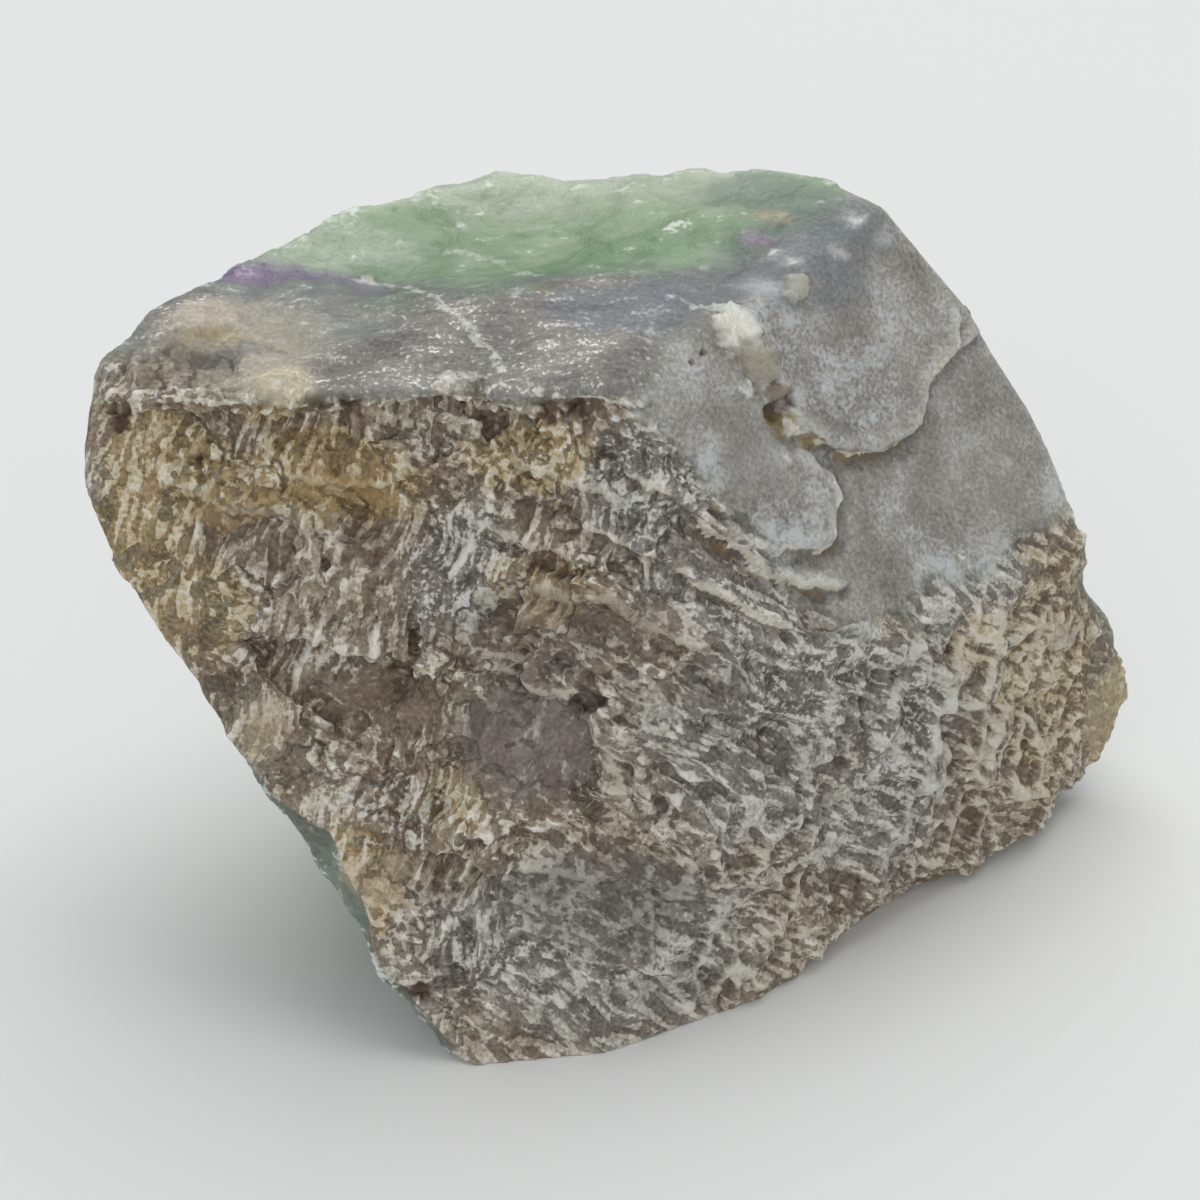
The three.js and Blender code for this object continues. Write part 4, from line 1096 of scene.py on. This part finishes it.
@dataclass(frozen=True)
class WeatheredFluorite:
    """Fluorite, etched and stained in front and freshly split behind.

    The etched skin is dull and hides the stone. The split faces are satin, and light goes some centimetres
    into them, so that they glow green where the crust doesn't cover them.
    """

    ior: float = 1.434
    # the etched skin from its pits to its crests: brown, grey, and stained by iron
    brown: Stops = shades("4A3E33", "6D5E4F", "8B7C6A", "A99C88", "CCC4B3", "EAE6DE")
    grey: Stops = shades("423E39", "66625D", "86827B", "A4A097", "C6C3BA", "E4E2DD")
    iron: Stops = shades("4F3D2A", "7A6547", "9C875F", "B7A582", "CFC5AE", "E6E0D0")
    parting: Stops = ((0.2, "6D6A64"), (0.5, "95938D"), (0.8, "BDBCB7"))
    strip: Stops = (
        (0.05, "575452"), (0.3, "7A7773"), (0.5, "8F8C86"),
        (0.64, "A5A19A"), (0.76, "CBC8C0"), (0.9, "E4E2DC"),
    )
    # the rims' cream is partly their own colour and partly painted highlight where the edges catch light
    rim: Stops = ((0.15, "A39A8A"), (0.5, "CDC7B9"), (0.8, "E6E3DA"))
    powder: str = "D2D2CF"
    # painted shade in the pits
    pit: str = "553C2F"
    rim_shade: str = "7C684B"  # painted shade, a dark brown line below the rims
    film: str = "C5C8CC"  # finer powder on the smooth shoulder
    scratch: str = "DDE2D8"
    veil: str = "C6D0BE"  # the whitish haze of small fractures under a clean face
    absorbed: str = "B9DDBB"
    absorption: float = 30.0
    # the growth zones of the split faces, by how deep they lie behind the weathered front
    zones: Stops = (
        (0.0, "6D766D"), (9.0, "777C7A"), (12.5, "7D7D84"), (15.0, "718770"),
        (18.5, "7F9F79"), (22.5, "96AF8C"), (30.0, "C4CDB8"), (36.0, "9FB09A"),
        (40.0, "8F8499"), (43.0, "93A893"), (54.0, "B0BBA8"), (60.0, "829B87"),
    )
    depth: float = 60.0
    grain: Noise = Noise(0.435, 2.0, 0.6)  # drawn coarser than the real 0.1 mm, which wouldn't show
    streaks: Noise = Noise(0.87)
    drawn: Noise = Noise(1.18, 5.0, 0.7)
    drawn_out: Triple = (0.3, 0.9, 1.0)
    broad: Noise = Noise(6.25, 3.0)
    clean_roughness: float = 0.36
    skin_roughness: float = 0.8
    transmission: float = 0.22
    glow: tuple[float, float] = (0.06, 0.5)  # under the skin, and how much more on a clean face
    glow_radius: Triple = (0.8, 1.0, 0.75)
    glow_reach: float = 7.0
    tooth: float = 0.45  # the height of the finest roughness

    def make(self) -> bpy.types.Material:
        """Makes the material.

        Returns:
            The material.
        """
        material = bpy.data.materials.new("fluorite, weathered and split")
        material.use_nodes = True
        material.node_tree.nodes.clear()
        g = Ground(material.node_tree, self)
        read = g.read
        dashes = g.weigh(
            0.0, (g.streaks, 1.0), (read[Mark.BARE], -0.11), (g.grain, 0.15, 0.5), (g.broad, 0.28, 0.5)
        )
        dashes = g.add(Kind.SOFT_RANGE, dashes, 0.47, 0.55)
        clean, scratches = self.split(g)
        colour = g.layer(
            Kind.MIX_COLOUR,
            clean,
            (read[Mark.STRIP], self.strip_skin(g)),
            (read[Mark.PARTING], self.smooth_skin(g)),
            (read[Mark.CRUST], self.crust(g, dashes)),
        )
        colour = self.edged(g, self.stained(g, colour))

        hide = g.fold(Kind.MOST, read[Mark.CRUST], read[Mark.PARTING], read[Mark.STRIP])
        bare = g.weigh(1.0, (hide, -1.0))
        open_face = g.add(Kind.TIMES, bare, g.weigh(1.0, (scratches, -1.0)))
        raised = g.weigh(0.0, (dashes, 0.2), (g.streaks, 1.0))
        calm = g.weigh(1.0, (read[Mark.RIBBED], -0.45), (read[Mark.BARE], -0.5))
        raised = g.add(Kind.TIMES, raised, calm)
        tooth = g.add(Kind.TIMES_ADD, raised, read[Mark.CRUST], g.weigh(0.0, (g.grain, 0.4)))
        normal = g.add(Kind.BUMP, at={"Strength": 0.75, "Distance": self.tooth * MM, "Height": tooth})
        shader = g.add(
            Kind.PRINCIPLED,
            at={
                "Base Color": colour,
                "Roughness": g.add(Kind.RANGE, hide, 0.0, 1.0, self.clean_roughness, self.skin_roughness),
                "IOR": self.ior,
                "Normal": normal,
                "Subsurface Weight": g.weigh(self.glow[0], (bare, self.glow[1])),
                "Subsurface Radius": self.glow_radius,
                "Subsurface Scale": self.glow_reach * MM,
                "Transmission Weight": g.weigh(0.0, (open_face, self.transmission)),
            },
        )
        absorb = g.add(Kind.ABSORB, at={"Color": linear(self.absorbed), "Density": self.absorption})
        g.add(Kind.OUTPUT, at={"Surface": shader, "Volume": absorb})
        return material

    def crust(self, g: Ground, dashes: Socket) -> Socket:
        """Adds the etched skin: pits and hollows darkened as painted shade, a grey-brown ground, cream crests
        lightened further as painted highlight, iron stains and powder.

        Args:
            g: the graph, with the notes and the noise.
            dashes: 1 on the fine cream dashes, and 0 between them.

        Returns:
            The output with the colour.
        """
        read, grain, streaks, broad = g.read, g.grain, g.streaks, g.broad
        # hollows painted darker as shade, and crests lighter, partly as painted highlight
        crest = g.add(Kind.RANGE, read[Mark.CREST], -0.6, 0.3, -0.22, 0.13)
        tone = g.weigh(
            0.38,
            (crest, 1.0),
            (read[Mark.NET], 0.18, 0.35),
            (read[Mark.RIBBED], -0.01),
            (dashes, 0.32),
            (grain, 0.8, 0.5),
            (broad, 0.35, 0.5),
        )
        ridge = g.weigh(0.0, (read[Mark.RIB], 1.0), (streaks, 1.5, 0.5), (grain, 1.2, 0.5))
        ridge = g.add(Kind.RANGE, ridge, 0.25, 0.8, 0.0, 0.75)
        # pale ribs, and the pits painted almost black as shade
        tone = g.layer(Kind.MIX, tone, (ridge, 0.8), (read[Mark.PIT], 0.02))
        palettes = (self.brown, self.grey, self.iron)
        brown, grey, iron = (g.add(Kind.RAMP, tone, stops=stops) for stops in palettes)
        cold = g.weigh(0.18, (read[Mark.GREY], 0.75), (read[Mark.RIBBED], 0.2), (broad, 1.2, 0.5))
        rusty = g.weigh(0.0, (read[Mark.OCHRE], 1.0), (streaks, 1.2, 0.5), (broad, 0.8, 0.5))
        rusty = g.add(Kind.RANGE, rusty, 0.2, 0.75, 0.0, 0.9)
        dusty = g.weigh(0.0, (read[Mark.POWDER], 0.2), (grain, 1.0, 0.5), (streaks, 0.7, 0.5))
        dust = g.add(Kind.RANGE, dusty, 0.2, 0.32, 0.0, 0.85)
        return g.layer(Kind.MIX_COLOUR, brown, (cold, grey), (rusty, iron), (dust, linear(self.powder)))

    def smooth_skin(self, g: Ground) -> Socket:
        """Adds the shoulder's smooth grey skin, painted darker in hollows and lighter on crests as shade and
        highlight, with a film of bluish powder.

        Args:
            g: the graph, with the notes and the noise.

        Returns:
            The output with the colour.
        """
        # darker in hollows and lighter on crests: painted shade and highlight
        tone = g.weigh(0.5, (g.grain, 0.8, 0.5), (g.broad, 0.9, 0.5), (g.read[Mark.CREST], 1.0))
        dusty = g.weigh(
            0.0, (g.read[Mark.POWDER], 0.3), (g.grain, 0.7, 0.5), (g.broad, 1.3, 0.5), (g.drawn, 1.5, 0.5)
        )
        dust = g.add(Kind.RANGE, dusty, 0.16, 0.5, 0.0, 0.68)
        return g.layer(Kind.MIX_COLOUR, g.add(Kind.RAMP, tone, stops=self.parting), (dust, linear(self.film)))

    def strip_skin(self, g: Ground) -> Socket:
        """Adds the laminated grey strip along the top's front edge, with its whitish flecks.

        Args:
            g: the graph, with the notes and the noise.

        Returns:
            The output with the colour.
        """
        flecks = g.add(Kind.RANGE, g.weigh(0.0, (g.drawn, 0.6), (g.grain, 1.0, 0.5)), 0.41, 0.5)
        tone = g.weigh(0.45, (g.drawn, 1.0, 0.5), (g.grain, 0.7, 0.5), (g.broad, 0.8, 0.5), (flecks, 0.22))
        return g.add(Kind.RAMP, tone, stops=self.strip)

    def split(self, g: Ground) -> tuple[Socket, Socket]:
        """Adds the split faces: growth zones by their depth, and white scratches.

        Args:
            g: the graph, with the notes and the noise.

        Returns:
            The outputs with the colour and with the share of scratches.
        """
        deep = g.weigh(0.0, (g.read[Mark.DEEP], 1 / self.depth), (g.broad, 7.0 / self.depth, 0.5))
        deep = g.weigh(0.0, (deep, 1.0), (g.drawn, 2.5 / self.depth, 0.5))
        zones = g.add(Kind.RAMP, deep, stops=tuple((depth / self.depth, code) for depth, code in self.zones))
        cloudy = g.weigh(0.0, (g.drawn, 1.3, 0.5), (g.broad, 1.0, 0.5))
        veil = g.add(Kind.RANGE, cloudy, -0.1, 0.5, 0.0, 0.55)
        scored = g.weigh(0.0, (g.drawn, 1.0, 0.5), (g.grain, 0.35, 0.5), (g.read[Mark.CREST], 0.75))
        scratches = g.add(Kind.RANGE, scored, 0.14, 0.24, 0.0, 0.8)
        colour = g.layer(Kind.MIX_COLOUR, zones, (veil, linear(self.veil)), (scratches, linear(self.scratch)))
        return colour, scratches

    def stained(self, g: Ground, colour: Socket) -> Socket:
        """Lays the local stains over a colour, speckled by the grain and streaked along X.

        Args:
            g: the graph, with the notes and the noise.
            colour: the colour below.

        Returns:
            The output with the colour.
        """
        cover, noise = g.read[Mark.COVER], ((g.grain, 0.9, 0.5), (g.drawn, 0.9, 0.5))
        share = g.add(Kind.RANGE, g.weigh(0.0, (cover, 1.5), *noise), 0.15, 0.6)
        left = g.weigh(1.0, (g.add(Kind.TIMES, cover, share), -1.0))
        shown = g.add(Kind.TIMES, share, g.weigh(1.0, *noise))
        shown = g.add(Kind.SCALE, g.read[Mark.TINGE], at={"Scale": shown})
        return g.add(Kind.V_TIMES_ADD, colour, left, shown)

    def edged(self, g: Ground, colour: Socket) -> Socket:
        """Colours the rims of split layers and the scars of the top cream, the rims partly as painted highlight, and
        paints shade dark below the rims and in the pits.

        Args:
            g: the graph, with the notes and the noise.
            colour: the colour below.

        Returns:
            The output with the colour.
        """
        cream = g.add(Kind.RAMP, g.weigh(0.5, (g.streaks, 1.2, 0.5), (g.grain, 0.6, 0.5)), stops=self.rim)
        noise = ((g.streaks, 1.3, 0.5), (g.drawn, 1.0, 0.5), (g.grain, 1.0, 0.5))
        # a dark brown line of painted shade below the rims, the rims cream, partly as painted highlight, and the scars
        # pale
        for mark, most, bare, whole, shade in (
            (g.read[Mark.LINE], 0.7, 0.4, 0.9, linear(self.rim_shade)),
            (g.read[Mark.RIM], 0.9, 0.4, 0.7, cream),
            (g.read[Mark.SCAR], 0.65, 0.65, 1.1, linear(self.scratch)),
        ):
            share = g.add(Kind.RANGE, g.weigh(0.0, (mark, 1.0), *noise), bare, whole, 0.0, most)
            share = g.add(Kind.TIMES, share, g.add(Kind.ABOVE, mark, 0.05))
            colour = g.layer(Kind.MIX_COLOUR, colour, (share, shade))
        # the pits painted dark as shade
        dark = g.weigh(0.0, (g.read[Mark.PIT], 0.65))
        return g.layer(Kind.MIX_COLOUR, colour, (dark, linear(self.pit)))


class Ground(Graph):
    """A finish's node tree, with the notes on the stone's points and four kinds of noise about 0.5."""

    def __init__(self, tree: bpy.types.NodeTree, look: WeatheredFluorite) -> None:
        """Adds the notes and the noise to a tree.

        Args:
            tree: the tree.
            look: the finish, which has the sizes.
        """
        super().__init__(tree)
        kinds = {mark: Kind.READ_VECTOR if mark in VECTORS else Kind.READ for mark in Mark}
        self.read = {mark: self.add(kind, attribute_name=mark.value) for mark, kind in kinds.items()}
        place = self.read[Mark.REST]
        self.grain = look.grain.field(self, place)
        self.streaks = look.streaks.field(self, self.read[Mark.LAID])
        self.broad = look.broad.field(self, place)
        self.drawn = look.drawn.field(self, self.add(Kind.V_TIMES, place, look.drawn_out))


# ---------------------------------------------------------------- studio
@dataclass
class Studio:
    """A pale floor, soft light from above and behind, and a camera a little above the stone."""

    target: Triple = (-4.2, -8.0, 35.6)
    distance: float = 322.0
    elevation: float = 30.0
    lens: float = 100.0
    floor_size: float = 6000.0
    floor_colour: str = "E4E5E4"
    room_colour: str = "F2F4F5"
    room_light: float = 0.47

    def build(self) -> None:
        """Makes the floor, the lights, the room and the camera."""
        self.lay_floor()
        self.light("softbox above", (60.0, 300.0, 850.0), 950.0, 5.7)
        self.light("softbox in front", (-150.0, -1000.0, 420.0), 900.0, 3.3)
        world = bpy.data.worlds.new("pale room")
        world.use_nodes = True
        world.node_tree.nodes["Background"].inputs["Color"].default_value = linear(self.room_colour)
        world.node_tree.nodes["Background"].inputs["Strength"].default_value = self.room_light
        bpy.context.scene.world = world
        bpy.context.scene.view_settings.view_transform = "Standard"
        self.set_camera()

    def lay_floor(self) -> None:
        """Makes the floor of matt white paper, which takes soft shadows with no gloss, as stage."""
        bpy.ops.object.select_all(action="DESELECT")
        bpy.ops.mesh.primitive_plane_add(size=self.floor_size * MM, location=(0, 0, 0))
        floor = bpy.context.view_layer.objects.active
        floor.name = "floor"
        paper = bpy.data.materials.new("matt white paper")
        paper.use_nodes = True
        shader = paper.node_tree.nodes["Principled BSDF"]
        shader.inputs["Base Color"].default_value = linear(self.floor_colour)
        shader.inputs["Roughness"].default_value = 0.7
        floor.data.materials.append(paper)
        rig.stage(floor)

    def light(self, name: str, at: Triple, size: float, power: float) -> None:
        """Adds a square softbox that faces the stone.

        Args:
            name: the light's name.
            at: its place.
            size: the length of its sides.
            power: its power in watts.
        """
        lamp = bpy.data.lights.new(name, "AREA")
        lamp.size = size * MM
        lamp.energy = power
        holder = bpy.data.objects.new(name, lamp)
        holder.location = Vector(at) * MM
        holder.rotation_euler = (Vector(self.target) - Vector(at)).to_track_quat("-Z", "Y").to_euler()
        bpy.context.scene.collection.objects.link(holder)

    def set_camera(self) -> None:
        """Sets the camera in front of the stone, looking a little down on it."""
        tilt = math.radians(self.elevation)
        back = Vector((0.0, -math.cos(tilt), math.sin(tilt)))
        camera = bpy.data.objects.new("camera", bpy.data.cameras.new("camera"))
        camera.data.lens = self.lens
        camera.data.sensor_width = 36.0
        camera.data.clip_start = 0.01
        camera.location = (Vector(self.target) + back * self.distance) * MM
        camera.rotation_euler = (math.radians(90) - tilt, 0.0, 0.0)
        bpy.context.scene.collection.objects.link(camera)
        bpy.context.scene.camera = camera


def main() -> None:
    """Builds the stone and the studio around it, and writes both boxes down."""
    logging.basicConfig(level=logging.INFO, format="%(name)s: %(message)s")
    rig.load()
    solid_box = [list(corner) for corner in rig.bounds()]
    Studio().build()
    LOG.info("studio built")
    stone = Stone()
    piece = stone.build()
    piece.data.materials.append(WeatheredFluorite().make())
    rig.ride(piece, "root")
    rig.replaces(piece, stone.node)
    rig.slot(piece, stone.slot)
    LOG.info("%s: %d faces", piece.name, len(piece.data.polygons))
    with open(SIZE_FILE, "w", encoding="utf-8") as file:
        json.dump({"solid": solid_box, "visual": [list(corner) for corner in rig.bounds()]}, file)


if __name__ == "__main__":
    main()
